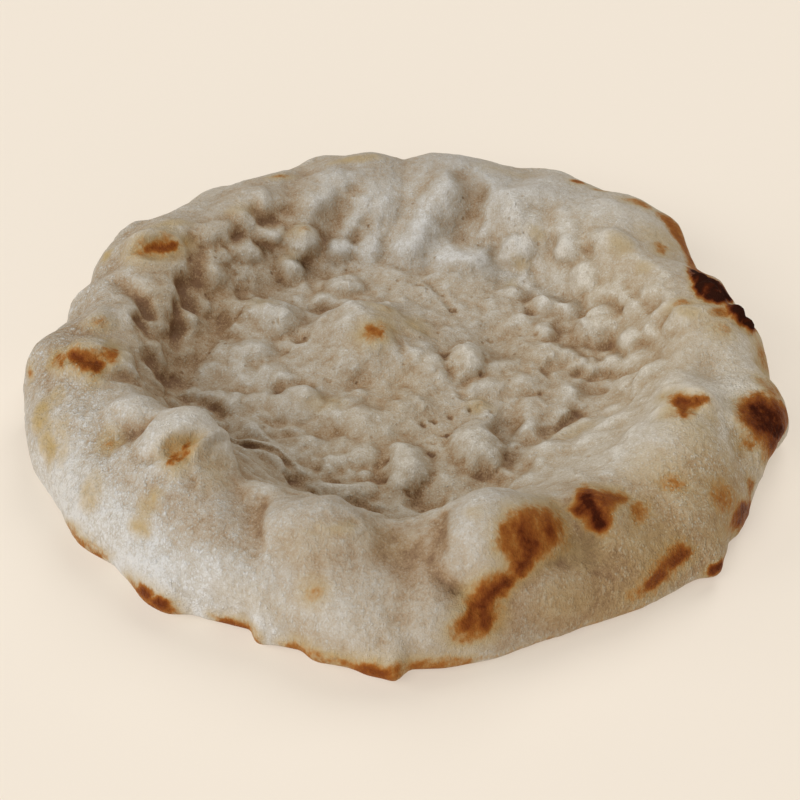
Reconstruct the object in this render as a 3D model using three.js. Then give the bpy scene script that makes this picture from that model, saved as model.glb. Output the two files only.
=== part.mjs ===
// A blank hand-stretched pizza crust: one baked piece with a flat underside,
// a thin uneven floor and a tall puffed rim blown up into separate bubbles.
// Millimetres, +Z up, the underside on z = 0.
import * as THREE from 'three';

// Plan
const BASE_RADIUS = 129;       // mean radius of the lower outer edge
const EDGE_HEIGHT = 5.5;       // the crust is widest here, just above the underside
const EDGE_INSET = 8;          // how far the underside is drawn in from that edge
// Rim
const RIM_WIDTH = 31;          // from the crest out to the edge
const CREST_HEIGHT = 32.8;
const OUTER_FULLNESS = 2.3;    // 2 is a round shoulder, more is squarer
// Floor
const FLOOR_RADIUS = 77;
const FLOOR_EDGE_HEIGHT = 11;
const FLOOR_MID_HEIGHT = 12.5;
// Where the inner wall slopes more gently: bearing, half width (degrees), how
// much further in its foot lies.
const GENTLE_WALL = [[-42, 26, 22], [85, 45, 18], [18, 30, 8], [158, 22, 9], [-131, 17, 15]];
const GENTLE_CREST_OUT = 6;    // the crest lies further out at the first of them
const GENTLE_CREST_DROP = 1.5; // and a little lower
const WAVE_COUNT = 7;          // crossing waves that make the floor uneven
const WAVE_LENGTH = 19;
const WAVE_RISE = 0.7;
// Mesh
const SEGMENTS = 104;          // columns round the crust
const FLOOR_RINGS = 14;
const INNER_RINGS = 8;
const OUTER_RINGS = 16;
const UNDER_RINGS = 4;

const DEG = Math.PI / 180;

// The hand-stretched outline: harmonic, cosine and sine amplitude.
const OUTLINE = [
  [3, -0.8, -0.8],
  [4, 0.25, -0.5],
  [5, 0.15, -1.75],
  [6, -0.1, 0.5],
];

// Tongues and notches of the lower edge: bearing, half width (degrees), reach.
const TONGUES = [
  [-92, 3.2, 5], [-44, 3, 5], [-125, 6, 3.4], [-116, 5, -3], [-24, 6, -3.4],
  [-8, 8, 3], [-162, 7, 1.6], [-110, 3, 2.4], [-68, 9, -2.6],
];

// Rises and dips of the rim all across it: bearing, half width (degrees), rise.
const SKYLINE = [
  [-14, 6, 3], [24, 8, -3.5], [170, 5, -3], [160, 5, -2.5], [118, 14, -1.2], [-168, 9, 1.5],
];

// Blown bubbles and hollows: bearing (degrees), distance from the axis,
// half length round the rim, half width across it, rise.
const BUBBLES = [
  // on the rim, from the front round to the right, the back and the left
  [-139, 95, 19, 16, 9], [-133, 103, 15, 14, 2.4], [-128, 106, 24, 16, 3], [-106, 103, 24, 15, 4.5],
  [-76, 103, 22, 17, 10], [-58, 108, 12, 12, 3.5], [-34, 106, 24, 20, 6], [-24.5, 101, 13, 14, 4.5],
  [-12.5, 104, 12, 15, -3.6], [-19, 124, 13, 13, 6.5], [3, 105, 20, 17, 3], [13.5, 109, 7, 7, 2.4],
  [5, 115, 7, 7, 2], [41, 119, 22, 12, 2.5], [82, 107, 20, 12, 2.5], [97, 109, 15, 10, 2.5],
  [65, 112, 16, 14, -2], [154, 103, 17, 12, 6], [179, 105, 8, 7, 3], [-168, 108, 17, 11, 5],
  [-178, 122, 14, 12, 5.5], [172, 118, 14, 14, -2.5], [-152, 100, 15, 13, 4.5],
  // on the inner wall
  [165, 90, 11, 10, 4], [177, 97, 10, 9, 3], [76, 95, 10, 12, 3.5], [80, 86, 10, 12, 4],
  [85, 76, 10, 12, 3.5], [91, 66, 9, 11, 2.5], [118, 83, 12, 11, 3], [58, 82, 13, 11, 3], [47, 91, 14, 11, 2.5],
  [36, 83, 13, 11, 2.5], [66, 84, 10, 12, -2],
  // on the floor
  [124, 74, 12, 11, 2.5], [130, 18, 24, 22, 5.5], [152, 60, 15, 15, 4.5], [70, 66, 15, 13, 3.5],
  [10, 22, 11, 12, 4.5], [21, 71, 11, 11, 3.5], [-60, 46, 12, 13, 5], [-156, 42, 12, 12, 3.5],
  [-90, 48, 12, 13, 4], [-86, 66, 12, 10, -3], [25, 37, 13, 13, -2.5],
];

const smooth = (t) => { const u = Math.min(1, Math.max(0, t)); return u * u * (3 - 2 * u); };
const wrap = (a) => Math.atan2(Math.sin(a), Math.cos(a));

const lobe = (theta, at, half) => Math.exp(-((wrap(theta - at * DEG) / (half * DEG)) ** 2));
const lobes = (table, theta) => table.reduce((sum, [at, half, amount]) => sum + amount * lobe(theta, at, half), 0);

function edgeRadius(theta) {
  return OUTLINE.reduce((r, [k, c, s]) => r + c * Math.cos(k * theta) + s * Math.sin(k * theta), BASE_RADIUS);
}

// Half section at one bearing. s runs 0..1 over the floor, 1..2 up the inner
// wall, 2..3 down the outer wall, 3..4 under the edge and 4..5 to the axis.
function section(theta, s) {
  const edge = edgeRadius(theta);
  const gentle = lobe(theta, GENTLE_WALL[0][0], GENTLE_WALL[0][1]);
  const back = lobe(theta, GENTLE_WALL[1][0], GENTLE_WALL[1][1]);
  const foot = FLOOR_RADIUS - lobes(GENTLE_WALL, theta);
  const crest = BASE_RADIUS + 0.5 * (edge - BASE_RADIUS) - RIM_WIDTH + GENTLE_CREST_OUT * gentle;
  const crestHeight = CREST_HEIGHT - GENTLE_CREST_DROP * gentle;
  // the tongues stand out at the edge only, and die away up the wall
  const lip = lobes(TONGUES, theta) * smooth((s - 2.55) / 0.45) ** 1.5 * smooth((4.6 - s) / 0.9);
  if (s <= 1) {
    return [foot * s, FLOOR_MID_HEIGHT + (FLOOR_EDGE_HEIGHT - FLOOR_MID_HEIGHT) * s * s];
  }
  if (s <= 2) {
    const t = s - 1;
    const round = 0.6 * smooth(t) + 0.4 * Math.sin(t * Math.PI / 2) ** 1.3;
    const k = round + (smooth(t) - round) * Math.max(gentle, 0.6 * back);
    return [foot + (crest - foot) * t, FLOOR_EDGE_HEIGHT + (crestHeight - FLOOR_EDGE_HEIGHT) * k];
  }
  if (s <= 3) {
    const a = (s - 2) * Math.PI / 2;
    const p = 2 / OUTER_FULLNESS;
    return [
      crest + (edge - crest) * Math.sin(a) ** p + lip,
      EDGE_HEIGHT + (crestHeight - EDGE_HEIGHT) * Math.max(0, Math.cos(a)) ** p,
    ];
  }
  if (s <= 4) {
    const a = (s - 3) * Math.PI / 2;
    return [edge - EDGE_INSET * (1 - Math.cos(a)) + lip, EDGE_HEIGHT * (1 - Math.sin(a))];
  }
  return [(edge - EDGE_INSET) * (5 - s) + lip, 0];
}

const point = (theta, s) => {
  const [r, z] = section(theta, s);
  return new THREE.Vector3(r * Math.cos(theta), r * Math.sin(theta), z);
};

// Outward normal of the half section, turned to its bearing.
function outward(theta, s) {
  const h = 0.01;
  const [r0, z0] = section(theta, Math.max(0, s - h));
  const [r1, z1] = section(theta, s + h);
  const n = new THREE.Vector2(-(z1 - z0), r1 - r0).normalize();
  const lean = s < 0.02 ? 0 : n.x;
  return new THREE.Vector3(lean * Math.cos(theta), lean * Math.sin(theta), n.y).normalize();
}

// Direction in which the dough swells: the normal averaged over a stretch of
// the section, so that it turns gently through the foot of the wall.
function swell(theta, s) {
  const sum = new THREE.Vector3();
  for (let k = -3; k <= 3; k++) {
    const at = Math.abs(s + k * 0.13);
    const n = outward(theta, Math.min(3.9, at));
    if (s + k * 0.13 < 0) { n.x = -n.x; n.y = -n.y; }
    sum.add(n);
  }
  if (s < 0.02) sum.set(0, 0, 1);
  return sum.normalize();
}

// Where a distance from the axis lies on the upper side.
function stationOf(theta, r) {
  let lo = 0;
  let hi = 3;
  for (let i = 0; i < 40; i++) {
    const mid = (lo + hi) / 2;
    if (section(theta, mid)[0] < r) lo = mid; else hi = mid;
  }
  return (lo + hi) / 2;
}

const bubbles = BUBBLES.map(([bearing, r, along, across, rise]) => {
  const theta = bearing * DEG;
  const s = stationOf(theta, r);
  const normal = swell(theta, s);
  const round = new THREE.Vector3(-Math.sin(theta), Math.cos(theta), 0);
  return { centre: point(theta, s), normal, round, slope: round.clone().cross(normal), along, across, rise };
});

// Low waves that make the floor and the inner wall uneven all over.
function waves(p) {
  let sum = 0;
  for (let k = 0; k < WAVE_COUNT; k++) {
    const a = k * 2.39996;
    const turn = 2 * Math.PI / (WAVE_LENGTH * (1 + 0.22 * Math.cos(3.7 * k)));
    sum += Math.sin((p.x * Math.cos(a) + p.y * Math.sin(a)) * turn + 1.7 * k * k);
  }
  const r = Math.hypot(p.x, p.y);
  return WAVE_RISE * sum / Math.sqrt(WAVE_COUNT) * smooth((96 - r) / 16);
}

function puff(p) {
  let sum = waves(p);
  for (const b of bubbles) {
    const d = p.clone().sub(b.centre);
    const q = (d.dot(b.round) / b.along) ** 2 + (d.dot(b.slope) / b.across) ** 2 + (d.dot(b.normal) / b.across) ** 2;
    sum += b.rise * Math.exp(-1.9 * q);
  }
  return sum;
}

// Stations of the section, closer together over the bends.
const stations = [];
for (let i = 0; i < FLOOR_RINGS; i++) stations.push(i / FLOOR_RINGS);
for (let i = 0; i < INNER_RINGS; i++) stations.push(1 + i / INNER_RINGS);
for (let i = 0; i < OUTER_RINGS; i++) stations.push(2 + i / OUTER_RINGS);
for (let i = 0; i < UNDER_RINGS; i++) stations.push(3 + i / UNDER_RINGS);
stations.push(4, 5);

const outline = stations.map((s) => new THREE.Vector2(...section(0, s)));
const skin = new THREE.LatheGeometry(outline.reverse(), SEGMENTS);
stations.reverse();
skin.rotateX(Math.PI / 2);

const position = skin.attributes.position;
for (let i = 0; i < position.count; i++) {
  const s = stations[i % stations.length];
  const theta = (Math.floor(i / stations.length) % SEGMENTS) / SEGMENTS * 2 * Math.PI - Math.PI / 2;
  const p = point(theta, s);
  const sky = lobes(SKYLINE, theta) * smooth((s - 1.5) / 0.5) * smooth((3.3 - s) / 0.5);
  const rise = s < 3.9 ? (puff(p) + sky) * smooth((3.9 - s) / 0.9) : 0;
  p.addScaledVector(swell(theta, s), rise);
  position.setXYZ(i, p.x, p.y, s >= 4 ? 0 : Math.max(0.2, p.z));
}

// The origin is the middle of the box, on the underside.
skin.computeBoundingBox();
const { min, max } = skin.boundingBox;
skin.translate(-(min.x + max.x) / 2, -(min.y + max.y) / 2, 0);
skin.computeVertexNormals();

const crust = new THREE.Mesh(
  skin,
  new THREE.MeshStandardMaterial({ color: 0xc9b99f, roughness: 0.7, metalness: 0 }),
);
crust.name = 'crust';

const pizzaCrust = new THREE.Group();
pizzaCrust.add(crust);

export default pizzaCrust;
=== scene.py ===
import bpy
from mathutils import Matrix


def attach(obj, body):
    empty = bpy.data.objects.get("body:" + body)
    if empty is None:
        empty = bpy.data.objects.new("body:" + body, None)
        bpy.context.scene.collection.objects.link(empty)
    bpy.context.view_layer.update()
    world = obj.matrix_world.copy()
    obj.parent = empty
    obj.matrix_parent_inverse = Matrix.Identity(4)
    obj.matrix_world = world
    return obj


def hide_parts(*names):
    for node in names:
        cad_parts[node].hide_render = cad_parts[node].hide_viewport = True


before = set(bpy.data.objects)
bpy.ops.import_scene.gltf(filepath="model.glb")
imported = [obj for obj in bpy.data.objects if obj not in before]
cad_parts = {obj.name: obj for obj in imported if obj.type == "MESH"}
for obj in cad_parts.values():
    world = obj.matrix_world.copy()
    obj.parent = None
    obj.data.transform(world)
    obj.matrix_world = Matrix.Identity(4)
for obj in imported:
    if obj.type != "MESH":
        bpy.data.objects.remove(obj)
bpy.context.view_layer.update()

import math

import bpy
import numpy as np
from mathutils import Vector, noise
from mathutils.bvhtree import BVHTree
from mathutils.kdtree import KDTree

# Lengths below are in millimetres about the crust's own axis. The axis stands
# at SHIFT in the shared frame, whose origin is the middle of the crust's box.
MM = 0.001
SHIFT = np.array([-0.542, 2.721, 0.0])
RNG = np.random.default_rng(20)

# ---------------------------------------------------------------- camera
ELEVATION = 38.5          # degrees above the floor
DISTANCE = 600.0
FOCAL = 1717.7            # pixels of the 800 x 800 frame
TARGET = np.array([0.0, 0.0, 15.0])
TARGET_PIXEL = (404.0, 363.8)

_e = math.radians(ELEVATION)
FWD = np.array([0.0, math.cos(_e), -math.sin(_e)])
UP = np.array([0.0, math.sin(_e), math.cos(_e)])
RIGHT = np.array([1.0, 0.0, 0.0])
EYE = TARGET - FWD * DISTANCE


def pixel_ray(u, v):
    d = FWD + RIGHT * (u - TARGET_PIXEL[0]) / FOCAL + UP * (TARGET_PIXEL[1] - v) / FOCAL
    return d / np.linalg.norm(d)


def to_pixels(p):
    q = p - EYE
    z = q @ FWD
    return np.stack([TARGET_PIXEL[0] + FOCAL * (q @ RIGHT) / z, TARGET_PIXEL[1] - FOCAL * (q @ UP) / z], -1)


# ---------------------------------------------------------------- the crust's main form
BASE_RADIUS = 129.0
EDGE_HEIGHT = 5.5
EDGE_INSET = 8.0
RIM_WIDTH = 31.0
CREST_HEIGHT = 32.8
OUTER_FULLNESS = 2.3
FLOOR_RADIUS = 77.0
FLOOR_EDGE_HEIGHT = 11.0
FLOOR_MID_HEIGHT = 12.5
# Lower edge, read off along the front: bearing in degrees, radius. The back,
# from -175 round to 5 degrees by way of 90, runs smoothly between its ends.
EDGE = (
    (-175, 130.5), (-168, 130.4), (-159, 130.0), (-150, 128.4), (-143, 129.7), (-136, 126.7), (-132, 127.7),
    (-127, 130.6), (-124, 130.2), (-121, 126.2), (-116, 124.5), (-112, 123.7), (-110.3, 128.5), (-108, 127),
    (-104, 126.6), (-102, 129.8), (-97, 130.9), (-94.5, 133.3), (-93, 134), (-91, 135.5), (-89.5, 130.3),
    (-85, 130.6), (-78, 129), (-72, 126.3), (-66, 125.9), (-61, 126.7), (-56, 128.6), (-53, 129),
    (-47, 130), (-45, 131.1), (-43, 134.7), (-41, 132.5), (-37, 129.5), (-34, 130.2), (-30, 129.3), (-25, 125.4),
    (-21, 126.5), (-17, 125.9), (-12, 131.6), (-7, 132), (5, 129), (25, 128.5), (45, 130),
    (65, 128.5), (90, 128.5), (115, 129.5), (135, 128.5), (160, 128.5),
)


def lobe(th, at, half):
    d = np.angle(np.exp(1j * (th - math.radians(at)))) / math.radians(half)
    return np.exp(-d * d)


def _edge_tables():
    grid = np.radians(np.arange(-180, 180, 0.25))
    at = np.array([math.radians(b) for b, _ in EDGE])
    fine = np.interp(grid, at, np.array([r for _, r in EDGE]), period=2 * math.pi)
    def soften(x, degrees):
        k = np.arange(-160, 161) * 0.25
        w = np.exp(-0.5 * (k / degrees) ** 2)
        return np.convolve(np.concatenate([x[-160:], x, x[:160]]), w / w.sum(), "valid")
    return grid, soften(fine, 0.45), soften(fine, 6.0)


EDGE_GRID, EDGE_FINE, EDGE_SOFT = _edge_tables()

# Blown bubbles: bearing, distance from the axis, half length round the rim,
# half width across it, rise.
BUBBLES = (
    (-139, 94, 18, 15, 11), (-128, 106, 24, 16, 3), (-106, 103, 24, 15, 4.5), (-76, 103, 22, 17, 9), (-58, 108, 12, 12, 3.5),
    (-34, 106, 24, 20, 5.5), (-24.5, 101, 13, 14, 4.5), (-12.5, 104, 12, 15, -3.6), (-19, 124, 13, 13, 6.5), (3, 105, 20, 17, 3.0), (11.0, 110, 5, 7, 3.8), (8.0, 115, 4.5, 8, -2.6), (13.0, 121, 6, 8, -2.6), (4.0, 115, 4.5, 7, 2.6),
    (41, 119, 22, 12, 2.5), (82, 107, 20, 12, 2.5), (97, 109, 15, 10, 2.5), (65, 112, 16, 14, -2),
    (154, 103, 17, 12, 6), (179, 105, 8, 7, 3), (-168, 108, 17, 11, 5), (-178, 122, 14, 12, 5.5), (-174, 117, 8, 10, 1.6), (172, 118, 14, 14, -2.5),
    (-152, 100, 15, 13, 4.0),
)


# Small corrections of the rim's skyline: bearing, rise in millimetres.
RIM_TRIM = (
    (-180, -5), (-175, 2.1), (-170, 1.4), (-165, 1.4), (-160, 1.5), (-155, 0), (-150, 0), (-145, 0), (-140, 0),
    (-135, 0), (-130, 0), (-125, 0), (-120, 0), (-115, 0), (-110, 0), (-105, 0), (-100, 0), (-95, 0),
    (-90, 0), (-85, 0), (-80, 0), (-75, 0), (-70, 0), (-65, 0), (-60, 0), (-55, 0), (-50, 0),
    (-45, 0), (-40, 0.3), (-35, 0), (-30, -1.2), (-25, 2.4), (-20, -1.1), (-15, 3.8), (-10, 1.7), (-5, -5),
    (0, -1.8), (5, -0.2), (10, -3.1), (15, -1.7), (20, -3.7), (25, -4.9), (30, -2.1), (35, -0.3), (40, 1),
    (45, 0.8), (50, 0.2), (55, 1.3), (60, 1), (65, -0.8), (70, 0), (75, 0.3), (80, 0.1), (85, -0.1),
    (90, -2.3), (95, -0.6), (100, -0.3), (105, -0.2), (110, -1.6), (115, -1.2), (120, -1.5), (125, -1.1), (130, -1.2),
    (135, -1.1), (140, -0.4), (145, 1.8), (150, 0.2), (155, 0.9), (160, -3.6), (165, -1.8), (170, -4.9), (175, -1.3),
)


def smooth(t):
    t = np.clip(t, 0.0, 1.0)
    return t * t * (3.0 - 2.0 * t)


def section(th, s):
    """Half section: s runs 0..1 over the floor, 1..2 up the inner wall, 2..3
    down the outer wall, 3..4 under the edge and 4..5 to the axis."""
    edge = np.interp(th, EDGE_GRID, EDGE_SOFT, period=2 * math.pi)
    lip = np.interp(th, EDGE_GRID, EDGE_FINE, period=2 * math.pi) - edge
    gentle = lobe(th, -42, 26)                      # the inner wall runs out flat at the front right
    back = lobe(th, 85, 45)                         # and slopes more gently at the back
    floor_r = FLOOR_RADIUS - 22 * gentle - 18 * back - 8 * lobe(th, 18, 30) - 9 * lobe(th, 158, 22) - 15 * lobe(th, -131, 17)
    crest = BASE_RADIUS + 0.5 * (edge - BASE_RADIUS) - RIM_WIDTH + 6 * gentle
    crest_z = CREST_HEIGHT - 1.5 * gentle
    t = np.clip(s, 0, 1)
    r0, z0 = floor_r * t, FLOOR_MID_HEIGHT + (FLOOR_EDGE_HEIGHT - FLOOR_MID_HEIGHT) * t * t
    t = np.clip(s - 1, 0, 1)
    k = 0.6 * smooth(t) + 0.4 * np.sin(t * math.pi / 2) ** 1.3
    k = k + (smooth(t) - k) * np.maximum(gentle, 0.6 * back)
    r1, z1 = floor_r + (crest - floor_r) * t, FLOOR_EDGE_HEIGHT + (crest_z - FLOOR_EDGE_HEIGHT) * k
    a = np.clip(s - 2, 0, 1) * math.pi / 2
    p = 2 / OUTER_FULLNESS
    r2 = crest + (edge - crest) * np.sin(a) ** p
    z2 = EDGE_HEIGHT + (crest_z - EDGE_HEIGHT) * np.maximum(0, np.cos(a)) ** p
    a = np.clip(s - 3, 0, 1) * math.pi / 2
    r3, z3 = edge - EDGE_INSET * (1 - np.cos(a)), EDGE_HEIGHT * (1 - np.sin(a))
    r4, z4 = (edge - EDGE_INSET) * (5 - s), np.zeros_like(s)
    r = np.select([s <= 1, s <= 2, s <= 3, s <= 4], [r0, r1, r2, r3], r4)
    z = np.select([s <= 1, s <= 2, s <= 3, s <= 4], [z0, z1, z2, z3], z4)
    # the nubs of the lower edge stand out at the edge only, and die away up the wall
    r = r + lip * smooth((s - 2.55) / 0.45) ** 1.5 * smooth((4.6 - s) / 0.9)
    return r, z


def place(th, s):
    r, z = section(th, s)
    return np.stack([r * np.cos(th), r * np.sin(th), z], -1)


def section_normal(th, s):
    h = 0.01
    r0, z0 = section(th, np.maximum(0, s - h))
    r1, z1 = section(th, s + h)
    n = np.stack([-(z1 - z0), r1 - r0], -1)
    n /= np.linalg.norm(n, axis=-1, keepdims=True) + 1e-12
    return n


def swell_direction(th, s):
    """The section's normal averaged over a stretch, so that it turns gently
    through the foot of the wall."""
    out = np.zeros(th.shape + (2,))
    for k in range(-3, 4):
        at = s + 0.13 * k
        n = section_normal(th, np.minimum(3.9, np.abs(at)))
        n[..., 0] = np.where(at < 0, -n[..., 0], n[..., 0])
        out += n
    out[..., 0] = np.where(s < 0.02, 0.0, out[..., 0])
    out /= np.linalg.norm(out, axis=-1, keepdims=True)
    return np.stack([out[..., 0] * np.cos(th), out[..., 0] * np.sin(th), out[..., 1]], -1)


def station_of(th, r):
    lo, hi = 0.0, 3.0
    for _ in range(40):
        mid = (lo + hi) / 2
        if section(np.array([th]), np.array([mid]))[0][0] < r:
            lo = mid
        else:
            hi = mid
    return (lo + hi) / 2


# ---------------------------------------------------------------- mesh of rings
def ring_spacing(s):
    return np.interp(s, [0.0, 1.9, 2.25, 2.9, 3.3, 4.0, 4.06, 4.5, 5.0],
                     [0.90, 0.90, 1.13, 1.13, 1.1, 1.6, 3.0, 6.0, 7.0])


def build_rings():
    fine = np.linspace(0, 5, 20001)
    r, z = section(np.full_like(fine, math.radians(200)), fine)
    step = np.hypot(np.diff(r), np.diff(z))
    # rings per millimetre, integrated along the section
    count = np.concatenate([[0], np.cumsum(step / (0.87 * ring_spacing((fine[1:] + fine[:-1]) / 2)))])
    n = int(round(count[-1]))
    stations = np.interp(np.linspace(0, count[-1], n + 1), count, fine)
    stations[0], stations[-1] = 0.0, 5.0
    th, st, start, size = [np.zeros(1)], [np.zeros(1)], [0], [1]
    total = 1
    for i, s in enumerate(stations[1:-1], 1):
        rr = section(np.array([math.radians(200)]), np.array([s]))[0][0]
        m = max(6, int(round(2 * math.pi * rr / ring_spacing(s))))
        off = 0.5 * (i % 2) + 0.31 * i
        th.append((np.arange(m) + off) * 2 * math.pi / m)
        st.append(np.full(m, s))
        start.append(total)
        size.append(m)
        total += m
    th.append(np.zeros(1)); st.append(np.full(1, 5.0)); start.append(total); size.append(1)
    faces = []
    for i in range(len(start) - 1):
        na, nb, a0, b0 = size[i], size[i + 1], start[i], start[i + 1]
        if na == 1:
            faces += [(a0, b0 + j, b0 + (j + 1) % nb) for j in range(nb)]
            continue
        if nb == 1:
            faces += [(a0 + j, b0, a0 + (j + 1) % na) for j in range(na)]
            continue
        ta, tb = th[i], th[i + 1]
        # start at the vertex of b nearest to the first of a
        j0 = int(np.argmin(np.abs(np.angle(np.exp(1j * (tb - ta[0]))))))
        ang_a = ta - ta[0]
        ang_b = np.angle(np.exp(1j * (tb[j0] - ta[0]))) + (np.arange(nb)) * 2 * math.pi / nb
        ia = ib = 0
        while ia < na or ib < nb:
            next_a = (ia + 1) * 2 * math.pi / na if ia < na else 1e9
            next_b = ang_b[0] + (ib + 1) * 2 * math.pi / nb if ib < nb else 1e9
            va, vb = a0 + ia % na, b0 + (j0 + ib) % nb
            if next_a <= next_b:
                faces.append((va, vb, a0 + (ia + 1) % na)); ia += 1
            else:
                faces.append((va, vb, b0 + (j0 + ib + 1) % nb)); ib += 1
    return np.concatenate(th), np.concatenate(st), np.array(faces, np.int64)


TH, ST, TRI = build_rings()


def vertex_normals(p):
    a, b, c = p[TRI[:, 0]], p[TRI[:, 1]], p[TRI[:, 2]]
    f = np.cross(b - a, c - a)
    n = np.zeros_like(p)
    for k in range(3):
        for axis in range(3):
            n[:, axis] += np.bincount(TRI[:, k], f[:, axis], len(p))
    return n / (np.linalg.norm(n, axis=1, keepdims=True) + 1e-12)


_edges = np.unique(np.sort(np.concatenate([TRI[:, [0, 1]], TRI[:, [1, 2]], TRI[:, [2, 0]]]), axis=1), axis=0)
_both = np.concatenate([_edges, _edges[:, ::-1]])
_degree = np.bincount(_both[:, 0], minlength=len(TH)).astype(float)


def blurred(x, rounds):
    """Mean over the neighbours, repeated: one round is about one edge wide."""
    x = np.array(x, float)
    flat = x.ndim == 1
    if flat:
        x = x[:, None]
    for _ in range(rounds):
        y = np.stack([np.bincount(_both[:, 0], x[_both[:, 1], k], len(x)) for k in range(x.shape[1])], -1)
        x = 0.5 * x + 0.5 * y / _degree[:, None]
    return x[:, 0] if flat else x


def tree_of(p):
    return BVHTree.FromPolygons(p.tolist(), TRI.tolist(), all_triangles=True)


# ---------------------------------------------------------------- first layer: the large bubbles
P = place(TH, ST)
SWELL = swell_direction(TH, ST)
TOP = smooth((3.9 - ST) / 0.9)          # fades out under the lower edge


def bubble_rise(p):
    out = np.zeros(len(p))
    for bearing, r, along, across, rise in BUBBLES:
        th = math.radians(bearing)
        s = station_of(th, r)
        c = place(np.array([th]), np.array([s]))[0]
        n = swell_direction(np.array([th]), np.array([s]))[0]
        e1 = np.array([-math.sin(th), math.cos(th), 0.0])
        e2 = np.cross(e1, n)
        d = p - c
        q = ((d @ e1) / along) ** 2 + ((d @ e2) / across) ** 2 + ((d @ n) / across) ** 2
        out += rise * np.exp(-1.9 * q)
    return out


def skyline_trim(th, s):
    at = np.array([math.radians(b) for b, _ in RIM_TRIM])
    rise = np.interp(th, at, np.array([v for _, v in RIM_TRIM]), period=2 * math.pi)
    low = 1.5 + 0.7 * np.maximum(lobe(th, 0, 28), lobe(th, 180, 22))      # at the sides only the outer wall shows against the floor
    return rise * smooth((s - low) / 0.5) * smooth((3.3 - s) / 0.5)


P = P + SWELL * ((bubble_rise(P) + skyline_trim(TH, ST)) * TOP)[:, None]

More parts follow.
